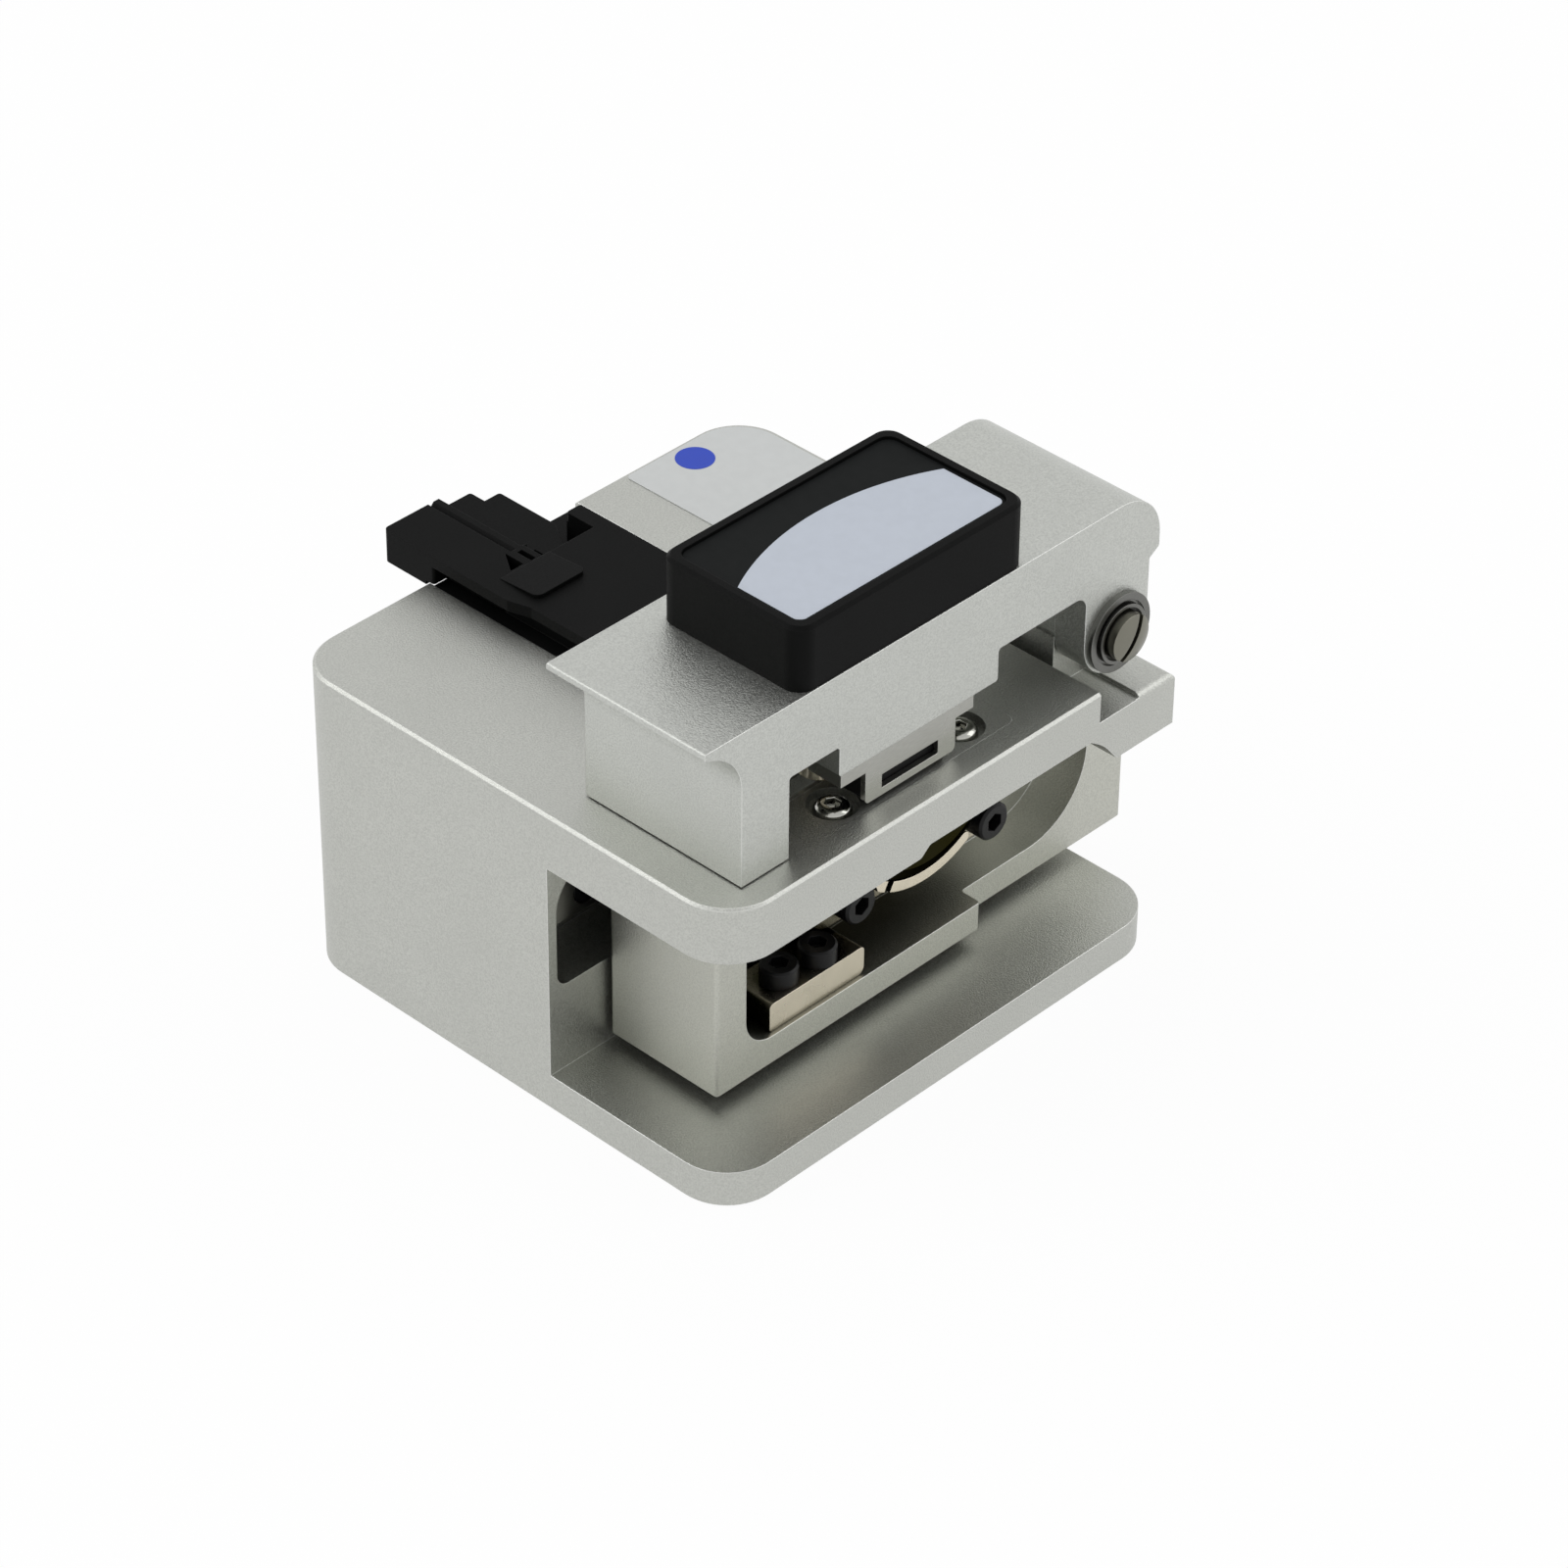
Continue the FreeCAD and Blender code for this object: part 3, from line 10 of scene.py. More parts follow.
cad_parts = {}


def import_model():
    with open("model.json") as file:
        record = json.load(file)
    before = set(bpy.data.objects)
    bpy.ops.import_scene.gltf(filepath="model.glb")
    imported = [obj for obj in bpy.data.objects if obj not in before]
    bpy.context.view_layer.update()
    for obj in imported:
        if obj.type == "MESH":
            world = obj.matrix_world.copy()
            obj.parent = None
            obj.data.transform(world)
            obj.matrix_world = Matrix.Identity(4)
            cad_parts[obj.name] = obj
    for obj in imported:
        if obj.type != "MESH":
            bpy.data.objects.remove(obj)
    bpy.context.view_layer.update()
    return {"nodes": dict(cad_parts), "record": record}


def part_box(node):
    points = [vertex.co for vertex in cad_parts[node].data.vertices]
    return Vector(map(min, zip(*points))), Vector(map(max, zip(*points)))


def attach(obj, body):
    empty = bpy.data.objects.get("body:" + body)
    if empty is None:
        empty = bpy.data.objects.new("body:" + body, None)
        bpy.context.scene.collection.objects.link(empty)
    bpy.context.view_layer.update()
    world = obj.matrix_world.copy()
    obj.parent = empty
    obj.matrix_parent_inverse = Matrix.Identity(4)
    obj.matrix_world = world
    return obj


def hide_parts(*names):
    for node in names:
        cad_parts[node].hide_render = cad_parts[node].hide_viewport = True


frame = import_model()
MM = 0.001
NODES = frame["nodes"]
SLOT_OF = {part["node"]: part["material_slot"] for part in frame["record"]["subparts"]}
WHITE = (1.0, 1.0, 1.0, 1.0)


# ---- node helpers ---------------------------------------------------------------------
BEVEL_SAMPLES = 6
EDGE_TURN = (0.995, 0.9)       # cosine of a rounded normal's turn, from no edge to full edge
HOLLOW_SAMPLES = 8
HOLLOW_REACH = 9.0 * MM        # how near a wall has to be to shelter a hollow


def map_range(tree, source, low, high, to_low, to_high):
    """source mapped from low..high to to_low..to_high, held at both ends."""
    node = tree.nodes.new("ShaderNodeMapRange")
    for name, number in (("From Min", low), ("From Max", high), ("To Min", to_low), ("To Max", to_high)):
        node.inputs[name].default_value = number
    tree.links.new(source, node.inputs["Value"])
    return node.outputs["Result"]


def times(color, factor):
    """The colour made darker or lighter, no channel above 1."""
    return tuple(min(c * factor, 1.0) for c in color)


class Shader:
    """A material under construction: one Principled shader and what feeds it."""

    def __init__(self, name, color, metallic, roughness, specular=0.5):
        self.material = bpy.data.materials.new(name)
        self.material.use_nodes = True
        self.tree = self.material.node_tree
        self.main = self.tree.nodes["Principled BSDF"]
        self.main.inputs["Base Color"].default_value = (*color, 1.0)
        self.main.inputs["Metallic"].default_value = metallic
        self.main.inputs["Roughness"].default_value = roughness
        self.main.inputs["Specular IOR Level"].default_value = specular
        self.coord = self.add("ShaderNodeTexCoord").outputs["Object"]

    def add(self, kind, **values):
        node = self.tree.nodes.new(kind)
        for key, value in values.items():
            setattr(node, key, value)
        return node

    def link(self, source, target):
        self.tree.links.new(source, target)

    def noise(self, size, detail=2.0, stretch=(1.0, 1.0, 1.0)):
        """Noise whose grains are about size metres across."""
        place = self.add("ShaderNodeMapping")
        place.inputs["Scale"].default_value = stretch
        self.link(self.coord, place.inputs["Vector"])
        noise = self.add("ShaderNodeTexNoise")
        noise.inputs["Scale"].default_value = 1.0 / size
        noise.inputs["Detail"].default_value = detail
        self.link(place.outputs["Vector"], noise.inputs["Vector"])
        return noise.outputs["Fac"]

    def span(self, value, low, high, to_low=0.0, to_high=1.0):
        return map_range(self.tree, value, low, high, to_low, to_high)

    def math(self, operation, *values):
        """A Math node; each value is a number or a socket."""
        node = self.add("ShaderNodeMath", operation=operation)
        for i, value in enumerate(values):
            if isinstance(value, (int, float)):
                node.inputs[i].default_value = value
            else:
                self.link(value, node.inputs[i])
        return node.outputs["Value"]

    def blend(self, factor, a, b):
        """Colour a where factor is 0, b where it is 1."""
        node = self.add("ShaderNodeMix", data_type="RGBA")
        self.link(factor, node.inputs["Factor"])
        for name, value in (("A", a), ("B", b)):
            socket = [s for s in node.inputs if s.name == name and s.type == "RGBA"][0]
            if isinstance(value, tuple):
                socket.default_value = value if len(value) == 4 else (*value, 1.0)
            else:
                self.link(value, socket)
        return [s for s in node.outputs if s.type == "RGBA"][0]

    def patches(self, noise, dark, light, low=0.35, high=0.65):
        """Colour that goes from dark to light as the noise goes from low to high."""
        return self.blend(self.span(noise, low, high), dark, light)

    def edges(self, radius):
        """Normals rounded over the edges, and a mask that is 1 on the edges."""
        bevel = self.add("ShaderNodeBevel", samples=BEVEL_SAMPLES)
        bevel.inputs["Radius"].default_value = radius
        plain = self.add("ShaderNodeNewGeometry").outputs["Normal"]
        dot = self.add("ShaderNodeVectorMath", operation="DOT_PRODUCT")
        self.link(bevel.outputs["Normal"], dot.inputs[0])
        self.link(plain, dot.inputs[1])
        return bevel.outputs["Normal"], self.span(dot.outputs["Value"], *EDGE_TURN)

    def inside(self, low, high, fade):
        """1 between two corners of a box in the object's own coordinates, 0 outside.

        Towards the box's right end it fades out over the length fade."""
        split = self.add("ShaderNodeSeparateXYZ")
        self.link(self.coord, split.inputs["Vector"])
        product = 1.0
        for place, least, most in zip(split.outputs, low, high):
            for test, limit in (("GREATER_THAN", least), ("LESS_THAN", most)):
                product = self.math("MULTIPLY", product, self.math(test, place, limit))
        fading = self.span(split.outputs["X"], high.x - fade, high.x, 1.0, 0.0)
        return self.math("MULTIPLY", product, fading)

    def hollow_shade_mask(self, low, high):
        """Painted shade in hollows: 1 where the ambient occlusion's openness is below low, 0 above high.
        """
        shade = self.add("ShaderNodeAmbientOcclusion", samples=HOLLOW_SAMPLES)
        shade.inputs["Distance"].default_value = HOLLOW_REACH
        return self.span(shade.outputs["AO"], low, high, 1.0, 0.0)

    def bump(self, height, distance, strength, normal=None):
        node = self.add("ShaderNodeBump")
        node.inputs["Distance"].default_value = distance
        node.inputs["Strength"].default_value = strength
        self.link(height, node.inputs["Height"])
        if normal is not None:
            self.link(normal, node.inputs["Normal"])
        return node.outputs["Normal"]

    def set(self, name, source):
        self.link(source, self.main.inputs[name])


# ---- materials ------------------------------------------------------------------------
# Painted shade in hollows on blasted aluminium, dark brown.
HOLLOW_SHADE = (0.066, 0.063, 0.042)  # on blasted aluminium
# Painted shade in hollows on nickel, dark brown.
NICKEL_HOLLOW_SHADE = (0.03, 0.029, 0.012)   # on nickel
BLAST_BUMP = 0.05 * MM
FINE_BUMP = 0.01 * MM


def blasted_metal(name, color, edge_color, grain=0.18 * MM, roughness=0.42, edge_radius=0.13 * MM,
                  shade_hollows=None):
    """Bead-blasted, anodised aluminium: fine grain, faint clouding, edges painted brighter, partly
    as wear and partly as a painted highlight.

    The last argument gives two corners of a box in which painted shade darkens the metal's hollows
    to brown, and the length over which that fades out at the box's right end."""
    s = Shader(name, color, 1.0, roughness)
    normal, edge = s.edges(edge_radius)
    fine = s.noise(grain, 3.0)
    cloud = s.noise(9.0 * MM, 3.0)
    face = s.patches(cloud, times(color, 0.98), times(color, 1.02))
    grained = s.patches(fine, times(color, 0.83), face, 0.35, 0.62)
    # Edges painted brighter: partly wear, partly a painted highlight.
    worn_and_highlit = s.blend(edge, grained, edge_color)
    # Painted shade: inside the box, hollows go dark brown by ambient occlusion.
    if shade_hollows:
        shaded_part = s.math("MULTIPLY", s.inside(*shade_hollows), s.hollow_shade_mask(0.28, 0.8))
        worn_and_highlit = s.blend(shaded_part, worn_and_highlit, HOLLOW_SHADE)
    s.set("Base Color", worn_and_highlit)
    grained_roughness = s.span(fine, 0.3, 0.7, roughness - 0.05, roughness + 0.05)
    s.set("Roughness", s.math("ADD", grained_roughness, s.span(edge, 0.0, 1.0, 0.0, -0.08)))
    s.set("Normal", s.bump(fine, BLAST_BUMP, 1.0, normal))
    return s.material


def ground_steel(name, color, roughness, along=(1.0, 14.0, 14.0), tint=WHITE):
    """Ground steel with fine lines along one axis; tint is its colour at a glancing angle."""
    s = Shader(name, color, 1.0, roughness)
    s.main.inputs["Specular Tint"].default_value = tint
    normal, edge = s.edges(0.08 * MM)
    lines = s.noise(0.9 * MM, 4.0, along)
    smudge = s.noise(4.0 * MM, 2.0)
    face = s.patches(lines, times(color, 0.86), color)
    # Edges painted lighter: a painted highlight.
    s.set("Base Color", s.blend(edge, face, times(color, 1.35)))
    s.set("Roughness", s.span(smudge, 0.3, 0.7, roughness - 0.05, roughness + 0.07))
    s.set("Normal", s.bump(lines, FINE_BUMP, 0.25, normal))
    return s.material


def plated(name, color, roughness, shade_hollows=None):
    """Plated metal: smooth, with a faint orange peel, and edges painted lighter as a highlight.

    The last argument, if given, is the pair of openness values between which painted shade in the
    hollows fades from dark brown to the plain plating."""
    s = Shader(name, color, 1.0, roughness)
    normal, edge = s.edges(0.1 * MM)
    peel = s.noise(0.6 * MM, 2.0)
    stain = s.noise(3.0 * MM, 3.0)
    face = s.patches(stain, times(color, 0.9), color, 0.35, 0.7)
    # Edges painted lighter: a painted highlight.
    unshaded_face = s.blend(edge, face, times(color, 1.25))
    # Painted shade: the plating in hollows goes dark brown.
    s.set("Base Color", s.blend(s.hollow_shade_mask(*shade_hollows), unshaded_face, NICKEL_HOLLOW_SHADE) if shade_hollows else unshaded_face)
    s.set("Roughness", s.span(stain, 0.3, 0.7, roughness, roughness + 0.06))
    s.set("Normal", s.bump(peel, FINE_BUMP, 0.15, normal))
    return s.material


def moulding(name, color, roughness, specular, grain=0.18 * MM, bump=0.3):
    """Moulded plastic with an eroded texture and edges painted lighter as a highlight."""
    s = Shader(name, color, 0.0, roughness, specular)
    normal, edge = s.edges(0.12 * MM)
    fine = s.noise(grain, 2.0)
    cloud = s.noise(6.0 * MM, 2.0)
    face = s.patches(cloud, times(color, 0.85), color)
    # Edges painted lighter: a painted highlight.
    s.set("Base Color", s.blend(edge, face, tuple(c * 1.6 + 0.004 for c in color)))
    s.set("Roughness", s.span(fine, 0.3, 0.7, roughness - 0.05, roughness + 0.06))
    s.set("Normal", s.bump(fine, 2.0 * FINE_BUMP, bump, normal))
    return s.material


def printed_film(name, color, roughness, specular=0.3):
    """Printed film: nearly even, with a faint mottle."""
    s = Shader(name, color, 0.0, roughness, specular)
    mottle = s.noise(1.2 * MM, 3.0)
    s.set("Base Color", s.patches(mottle, times(color, 0.97), color))
    s.set("Roughness", s.span(mottle, 0.3, 0.7, roughness - 0.03, roughness + 0.05))
    s.set("Normal", s.bump(mottle, FINE_BUMP, 0.1))
    return s.material


ALUMINIUM = (0.572, 0.58, 0.545)
# Lighter than ALUMINIUM: painted light, for the stronger light that falls on the lid.
LID_ALUMINIUM = (0.60, 0.612, 0.58)
TRAY_ALUMINIUM = (0.57, 0.575, 0.52)
# Colour of the edges: partly wear, partly a painted highlight.
EDGE_WEAR_AND_HIGHLIGHT = (0.80, 0.805, 0.78)
NICKEL = (0.78, 0.71, 0.58)
WASHER_GRAIN = (10.0, 1.0, 10.0)  # drawn out along y, the axis of washers and blade
BLADE_GRAIN = (6.0, 1.0, 6.0)
BLADE_TINT = (0.1, 0.1, 0.06, 1.0)
MATERIALS = {
    "satin_aluminium": blasted_metal("satin_aluminium", ALUMINIUM, EDGE_WEAR_AND_HIGHLIGHT),
    "machined_steel": ground_steel("machined_steel", (0.42, 0.42, 0.39), 0.3),
    "nickel_plate": plated("nickel_plate", NICKEL, 0.22),
    "black_oxide": moulding("black_oxide", (0.005, 0.005, 0.0055), 0.35, 0.22, 0.3 * MM, 0.2),
    "bright_chrome": plated("bright_chrome", (0.52, 0.52, 0.48), 0.1),
    "magnet_plate": plated("magnet_plate", (0.6, 0.59, 0.56), 0.15),
    "carbide": ground_steel("carbide", (0.042, 0.040, 0.024), 0.3, BLADE_GRAIN, BLADE_TINT),
    "spring_steel": plated("spring_steel", (0.5, 0.5, 0.48), 0.25),
    "bronze": blasted_metal("bronze", (0.5, 0.32, 0.13), (0.6, 0.42, 0.2), 0.2 * MM, 0.4),
    "black_rubber": moulding("black_rubber", (0.006, 0.006, 0.006), 0.6, 0.15),
    "black_moulding": moulding("black_moulding", (0.0042, 0.0044, 0.0043), 0.5, 0.06),
    "label_film": printed_film("label_film", (0.0075, 0.0085, 0.0085), 0.5, 0.06),
}

# Pieces whose finish differs from the rest of their slot.  Painted shade browns the tray's
# hollows, less towards its open right end; the clamp bars, let in flush, get no painted edge highlight.
TRAY = (Vector((-18.95, -20.1, 8.6)) * MM, Vector((27.0, -12.7, 25.4)) * MM, 20.0 * MM)
FLUSH_BAR = blasted_metal("flush_aluminium", ALUMINIUM, ALUMINIUM, edge_radius=0.01 * MM)
OWN_FINISH = {
    "lid_body": blasted_metal("lid_aluminium", LID_ALUMINIUM, EDGE_WEAR_AND_HIGHLIGHT),
    "carriage_body": blasted_metal("tray_aluminium", TRAY_ALUMINIUM, EDGE_WEAR_AND_HIGHLIGHT, shade_hollows=TRAY),
    "hinge_washers": ground_steel("turned_steel", (0.17, 0.17, 0.16), 0.32, WASHER_GRAIN),
    "hinge_screw": plated("dark_nickel", (0.21, 0.205, 0.17), 0.28),
    # Painted shade: nickel goes dark brown in hollows; the stop bar's is also darker, shade in the tray.
    "blade_holder": plated("shaded_nickel", NICKEL, 0.22, shade_hollows=(0.45, 0.8)),
    "stop_bar": plated("bar_nickel", (0.68, 0.62, 0.51), 0.25, shade_hollows=(0.4, 0.75)),
    "front_lower_clamp": FLUSH_BAR,
    "rear_lower_clamp": FLUSH_BAR,
}
PALE_FILM = printed_film("pale_film", (0.515, 0.555, 0.625), 0.4)
WHITE_FILM = printed_film("white_film", (0.60, 0.615, 0.61), 0.4)
BLUE_INK = printed_film("blue_ink", (0.022, 0.062, 0.50), 0.35)


def dress_nodes():
    """Give every CAD node its material."""
    for node, piece in NODES.items():
        for place in piece.material_slots:
            place.material = OWN_FINISH.get(node, MATERIALS[SLOT_OF[node]])


# ---- pieces that only the looks need ----------------------------------------------------
def arc(cx, cy, r, start, end, steps):
    """Points of an arc, angles in degrees."""
    turns = [math.radians(start + (end - start) * k / steps) for k in range(steps + 1)]
    return [(cx + r * math.cos(t), cy + r * math.sin(t)) for t in turns]


def circle(cx, cy, r, steps):
    """Points of a whole circle, the first one not repeated."""
    return arc(cx, cy, r, 0, 360 * (steps - 1) / steps, steps - 1)


def as_piece(mesh, name, material):
    """A piece in the scene with the built mesh and one material."""
    data = bpy.data.meshes.new(name)
    mesh.to_mesh(data)
    mesh.free()
    data.materials.append(material)
    piece = bpy.data.objects.new(name, data)
    bpy.context.scene.collection.objects.link(piece)
    return piece


PLATE_ROUNDING = 0.4           # edge rounding, as a share of the plate's thickness


def thin_plate(name, points, low, high, material, body):
    """Flat plate with the given outline, its edges slightly rounded."""
    mesh = bmesh.new()
    base = mesh.faces.new([mesh.verts.new((x, y, low)) for x, y in points])
    if base.normal.z < 0:
        base.normal_flip()
    grown = bmesh.ops.extrude_face_region(mesh, geom=[base])
    top = [v for v in grown["geom"] if isinstance(v, bmesh.types.BMVert)]
    bmesh.ops.translate(mesh, verts=top, vec=(0, 0, high - low))
    bmesh.ops.recalc_face_normals(mesh, faces=mesh.faces)
    piece = as_piece(mesh, name, material)
    soften = piece.modifiers.new("edge", "BEVEL")
    soften.width = (high - low) * PLATE_ROUNDING
    soften.segments = 2
    soften.limit_method = "ANGLE"
    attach(piece, body)


def ring(mesh, points, z):
    """One loop of vertices at height z."""
    return [mesh.verts.new((x, y, z)) for x, y in points]


def join_rings(mesh, rings):
    """Walls between neighbouring loops of equal length, and a face over each end."""
    for lower, upper in zip(rings, rings[1:]):
        for k in range(len(lower)):
            after = (k + 1) % len(lower)
            mesh.faces.new((lower[k], lower[after], upper[after], upper[k]))
    mesh.faces.new(list(reversed(rings[0])))
    mesh.faces.new(rings[-1])


def hexagon(cx, cy, across, steps):
    """Points along a hexagon that is across wide from flat to flat, evenly in angle."""
    points = []
    for k in range(steps):
        turn = 2 * math.pi * k / steps
        off_flat = (turn + math.pi / 6) % (math.pi / 3) - math.pi / 6
        r = across / 2 / math.cos(off_flat)
        points.append((cx + r * math.cos(turn), cy + r * math.sin(turn)))
    return points


SCREW_STEPS = 48               # sides of a turned screw
HEAD_R = 1.85 * MM
HEAD_H = 1.2 * MM
HEAD_RIM = 0.25 * MM           # straight part of the head's side
HEAD_FLAT_R = 0.98 * MM        # level ring round the socket
HEAD_CHAMFER = 0.08 * MM
DOME_STEPS = 9
SHANK_R = 1.0 * MM
# The socket: its width across the flats and its depth, from the mouth down.
SOCKET = ((1.46 * MM, 0.02 * MM), (1.36 * MM, 0.1 * MM), (1.36 * MM, 0.85 * MM))
SHARP_ANGLE = math.radians(35)  # edges that turn by more than this stay sharp


def button_screw(mesh, x, y, low, top):
    """Domed screw with a chamfered hexagon socket, from its shank's end up to its crown."""
    seat = top - HEAD_H
    rim = seat + HEAD_RIM
    shape = [(SHANK_R, low), (SHANK_R, seat),
             (HEAD_R - HEAD_CHAMFER, seat), (HEAD_R, seat + HEAD_CHAMFER), (HEAD_R, rim)]
    for k in range(1, DOME_STEPS):
        turn = math.radians(90 * k / DOME_STEPS)
        shape.append((HEAD_FLAT_R + (HEAD_R - HEAD_FLAT_R) * math.cos(turn),
                      rim + (HEAD_H - HEAD_RIM) * math.sin(turn)))
    shape.append((HEAD_FLAT_R, top))
    rings = [ring(mesh, circle(x, y, r, SCREW_STEPS), z) for r, z in shape]
    rings += [ring(mesh, hexagon(x, y, across, SCREW_STEPS), top - depth) for across, depth in SOCKET]
    join_rings(mesh, rings)


def clamp_screws():
    """The four chrome button screws of the lower clamps, in place of their coarser solids."""
    low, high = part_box("lower_clamp_screws")
    mesh = bmesh.new()
    for x in (low.x + HEAD_R, high.x - HEAD_R):
        for y in (low.y + HEAD_R, high.y - HEAD_R):
            button_screw(mesh, x, y, low.z, high.z)
    piece = as_piece(mesh, "clamp_button_screws", MATERIALS["bright_chrome"])
    piece.data.shade_smooth()
    piece.data.set_sharp_from_angle(angle=SHARP_ANGLE)
    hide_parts("lower_clamp_screws")
    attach(piece, "base")


FIELD_THICK = 0.05 * MM        # the pale print on the cap's label
LABEL_THICK = 0.08 * MM
DISC_THICK = 0.03 * MM
DISC_R = 2.0 * MM


def label_field():
    """Pale field of the cap's label: straight near end, bowed far edge, rounded corners."""
    low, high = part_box("cap_label")
    left = low.x + 0.3 * MM
    right = high.x - 0.4 * MM
    near = low.y + 0.3 * MM
    side = near + 7.6 * MM
    bow = 3.3 * MM
    r = 0.8 * MM
    half = (right - left) / 2
    big = (half ** 2 + bow ** 2) / (2 * bow)
    reach = math.degrees(math.asin(half / big))
    points = arc(left + r, near + r, r, 180, 270, steps=6)
    points += arc(right - r, near + r, r, 270, 360, steps=6)
    points += arc((left + right) / 2, side + bow - big, big, 90 - reach, 90 + reach, steps=24)
    thin_plate("cap_label_field", points, high.z, high.z + FIELD_THICK, PALE_FILM, "lid")


def rear_label():
    """Bare white label on the rear block's top, and its plain blue disc."""
    low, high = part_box("main_body")
    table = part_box("front_lower_clamp")[1].z
    left = low.x + 43.8 * MM
    right = high.x - 0.6 * MM
    near = low.y + 31.0 * MM
    far = high.y - 0.5 * MM
    corner = 5.0 * MM
    r = 0.6 * MM
    points = arc(left + r, near + r, r, 180, 270, steps=5)
    points += arc(right - r, near + r, r, 270, 360, steps=5)
    points += arc(right - corner, far - corner, corner, 0, 90, steps=12)
    points += arc(left + r, far - r, r, 90, 180, steps=5)
    film = table + LABEL_THICK
    thin_plate("rear_label", points, table, film, WHITE_FILM, "base")
    spot = circle(low.x + 50.9 * MM, low.y + 54.6 * MM, DISC_R, steps=40)
    thin_plate("rear_label_disc", spot, film, film + DISC_THICK, BLUE_INK, "base")


# ---- stage ------------------------------------------------------------------------------
def background_mix(tree, plain, shown):
    """shown for camera, glossy and transmission rays, plain for the light on things."""
    rays = tree.nodes.new("ShaderNodeLightPath")
    seen = rays.outputs["Is Camera Ray"]
    for name in ("Is Glossy Ray", "Is Transmission Ray"):
        larger = tree.nodes.new("ShaderNodeMath")
        larger.operation = "MAXIMUM"
        tree.links.new(seen, larger.inputs[0])
        tree.links.new(rays.outputs[name], larger.inputs[1])
        seen = larger.outputs["Value"]
    mix = tree.nodes.new("ShaderNodeMixShader")
    tree.links.new(seen, mix.inputs["Fac"])
    tree.links.new(plain, mix.inputs[1])
    tree.links.new(shown, mix.inputs[2])
    return mix.outputs["Shader"]


PLAIN_LIGHT = 0.64             # strength of the world as the light on things
SKY_LOW = 1.0                  # its strength as it is seen and mirrored, low down
SKY_HIGH = 0.79                # and high up
SKY_FALL = (0.1, 0.75)         # from and to which upward part of the direction it changes


def world():
    """White studio, mirrored a little darker overhead, which keeps level metal darker."""
    studio = bpy.data.worlds.new("studio")
    bpy.context.scene.world = studio
    studio.use_nodes = True
    tree = studio.node_tree
    plain = tree.nodes["Background"]
    plain.inputs["Color"].default_value = WHITE
    plain.inputs["Strength"].default_value = PLAIN_LIGHT
    shown = tree.nodes.new("ShaderNodeBackground")
    shown.inputs["Color"].default_value = WHITE
    direction = tree.nodes.new("ShaderNodeTexCoord").outputs["Generated"]
    split = tree.nodes.new("ShaderNodeSeparateXYZ")
    tree.links.new(direction, split.inputs["Vector"])
    sky = map_range(tree, split.outputs["Z"], *SKY_FALL, SKY_LOW, SKY_HIGH)
    tree.links.new(sky, shown.inputs["Strength"])
    mixed = background_mix(tree, plain.outputs["Background"], shown.outputs["Background"])
    tree.links.new(mixed, tree.nodes["World Output"].inputs["Surface"])


FLOOR_SIZE = 3.0
FLOOR_Z = -0.02 * MM           # clear of the base's underside
FLOOR_WHITE = (0.95, 0.95, 0.95, 1.0)
FLOOR_GLOW = (0.66, 0.94)      # self-lit share of the floor: as mirrored, as the camera sees it


def white_sweep():
    """Matt white, and partly self-lit as it is seen and mirrored, so that shadows stay faint."""
    material = bpy.data.materials.new("white_sweep")
    material.use_nodes = True
    tree = material.node_tree
    matt = tree.nodes["Principled BSDF"]
    matt.inputs["Base Color"].default_value = FLOOR_WHITE
    matt.inputs["Roughness"].default_value = 0.9
    matt.inputs["Specular IOR Level"].default_value = 0.1
    glow = tree.nodes.new("ShaderNodeEmission")
    glow.inputs["Strength"].default_value = 1.0
    partly = tree.nodes.new("ShaderNodeMixShader")
    seen = tree.nodes.new("ShaderNodeLightPath").outputs["Is Camera Ray"]
    tree.links.new(map_range(tree, seen, 0.0, 1.0, *FLOOR_GLOW), partly.inputs["Fac"])
    tree.links.new(matt.outputs["BSDF"], partly.inputs[1])
    tree.links.new(glow.outputs["Emission"], partly.inputs[2])
    mixed = background_mix(tree, matt.outputs["BSDF"], partly.outputs["Shader"])
    tree.links.new(mixed, tree.nodes["Material Output"].inputs["Surface"])
    return material


def floor():
    """Wide white plane that the tool stands on."""
    bpy.ops.mesh.primitive_plane_add(size=FLOOR_SIZE, location=(0, 0, FLOOR_Z))
    ground = bpy.context.object
    ground.name = "studio_floor"
    ground.data.materials.append(white_sweep())


LAMP_AIM = Vector((0, 0, 0.03))  # about the tool's middle


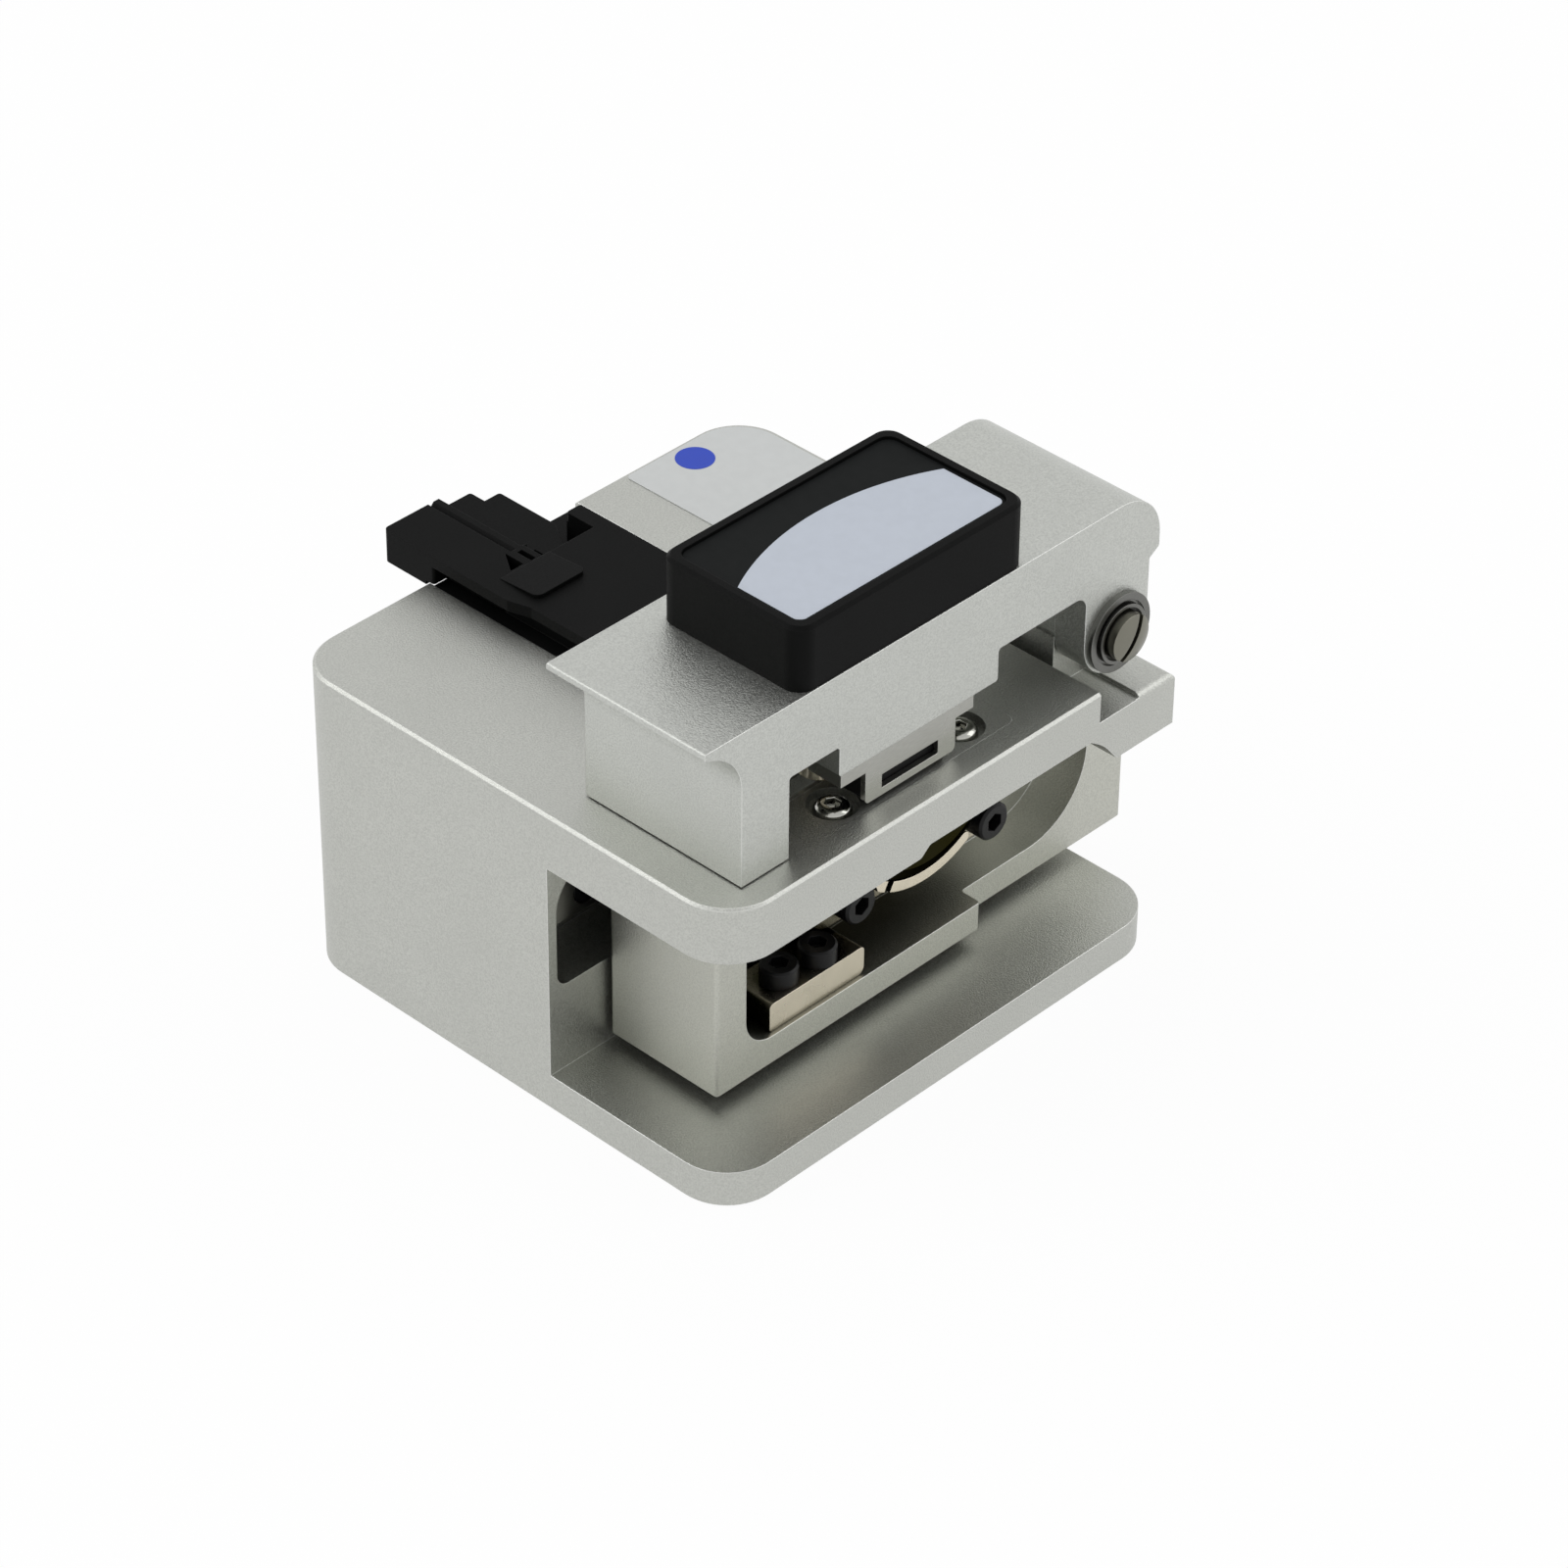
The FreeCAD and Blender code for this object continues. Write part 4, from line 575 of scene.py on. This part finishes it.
def softbox(name, place, size, radiance):
    """Square area lamp that faces the tool; radiance 1 is as bright as the white world."""
    lamp = bpy.data.lights.new(name, "AREA")
    lamp.shape = "SQUARE"
    lamp.size = size
    lamp.energy = radiance * math.pi * size ** 2
    holder = bpy.data.objects.new(name, lamp)
    holder.location = place
    holder.rotation_euler = (LAMP_AIM - Vector(place)).to_track_quat("-Z", "Y").to_euler()
    bpy.context.scene.collection.objects.link(holder)


def lamps():
    softbox("back_left_softbox", (-0.55, 0.50, 0.62), size=0.6, radiance=1.6)
    softbox("front_right_softbox", (0.60, -0.55, 0.60), size=0.6, radiance=1.25)
    softbox("top_softbox", (0.0, 0.05, 0.95), size=0.7, radiance=0.8)


# ---- camera -------------------------------------------------------------------------------
# Fitted to the picture's perspective; the lens goes with the sensor's width, both in mm.
CAMERA_AZIMUTH = math.radians(-46.317)
CAMERA_ELEVATION = math.radians(36.501)
CAMERA_ROLL = math.radians(0.599)
CAMERA_PLACE = (-0.3134, -0.3060, 0.3433)
CAMERA_LENS = 131.54
SENSOR_WIDTH = 36.0
CLIP_START = 10.0 * MM


def camera():
    """The picture's camera: turned and tilted to look down at the tool, then rolled."""
    data = bpy.data.cameras.new("camera")
    data.lens = CAMERA_LENS
    data.sensor_width = SENSOR_WIDTH
    data.clip_start = CLIP_START
    across = Vector((math.cos(CAMERA_AZIMUTH), math.sin(CAMERA_AZIMUTH), 0))
    ahead = Vector((-math.sin(CAMERA_AZIMUTH) * math.cos(CAMERA_ELEVATION),
                    math.cos(CAMERA_AZIMUTH) * math.cos(CAMERA_ELEVATION), -math.sin(CAMERA_ELEVATION)))
    upward = across.cross(ahead)
    turned = across * math.cos(CAMERA_ROLL) + upward * math.sin(CAMERA_ROLL)
    tilted = upward * math.cos(CAMERA_ROLL) - across * math.sin(CAMERA_ROLL)
    holder = bpy.data.objects.new("camera", data)
    pose = Matrix((turned, tilted, -ahead)).transposed().to_4x4()
    pose.translation = Vector(CAMERA_PLACE)
    holder.matrix_world = pose
    bpy.context.scene.collection.objects.link(holder)
    bpy.context.scene.camera = holder


dress_nodes()
clamp_screws()
label_field()
rear_label()
world()
floor()
lamps()
camera()
bpy.context.scene.view_settings.view_transform = "Standard"
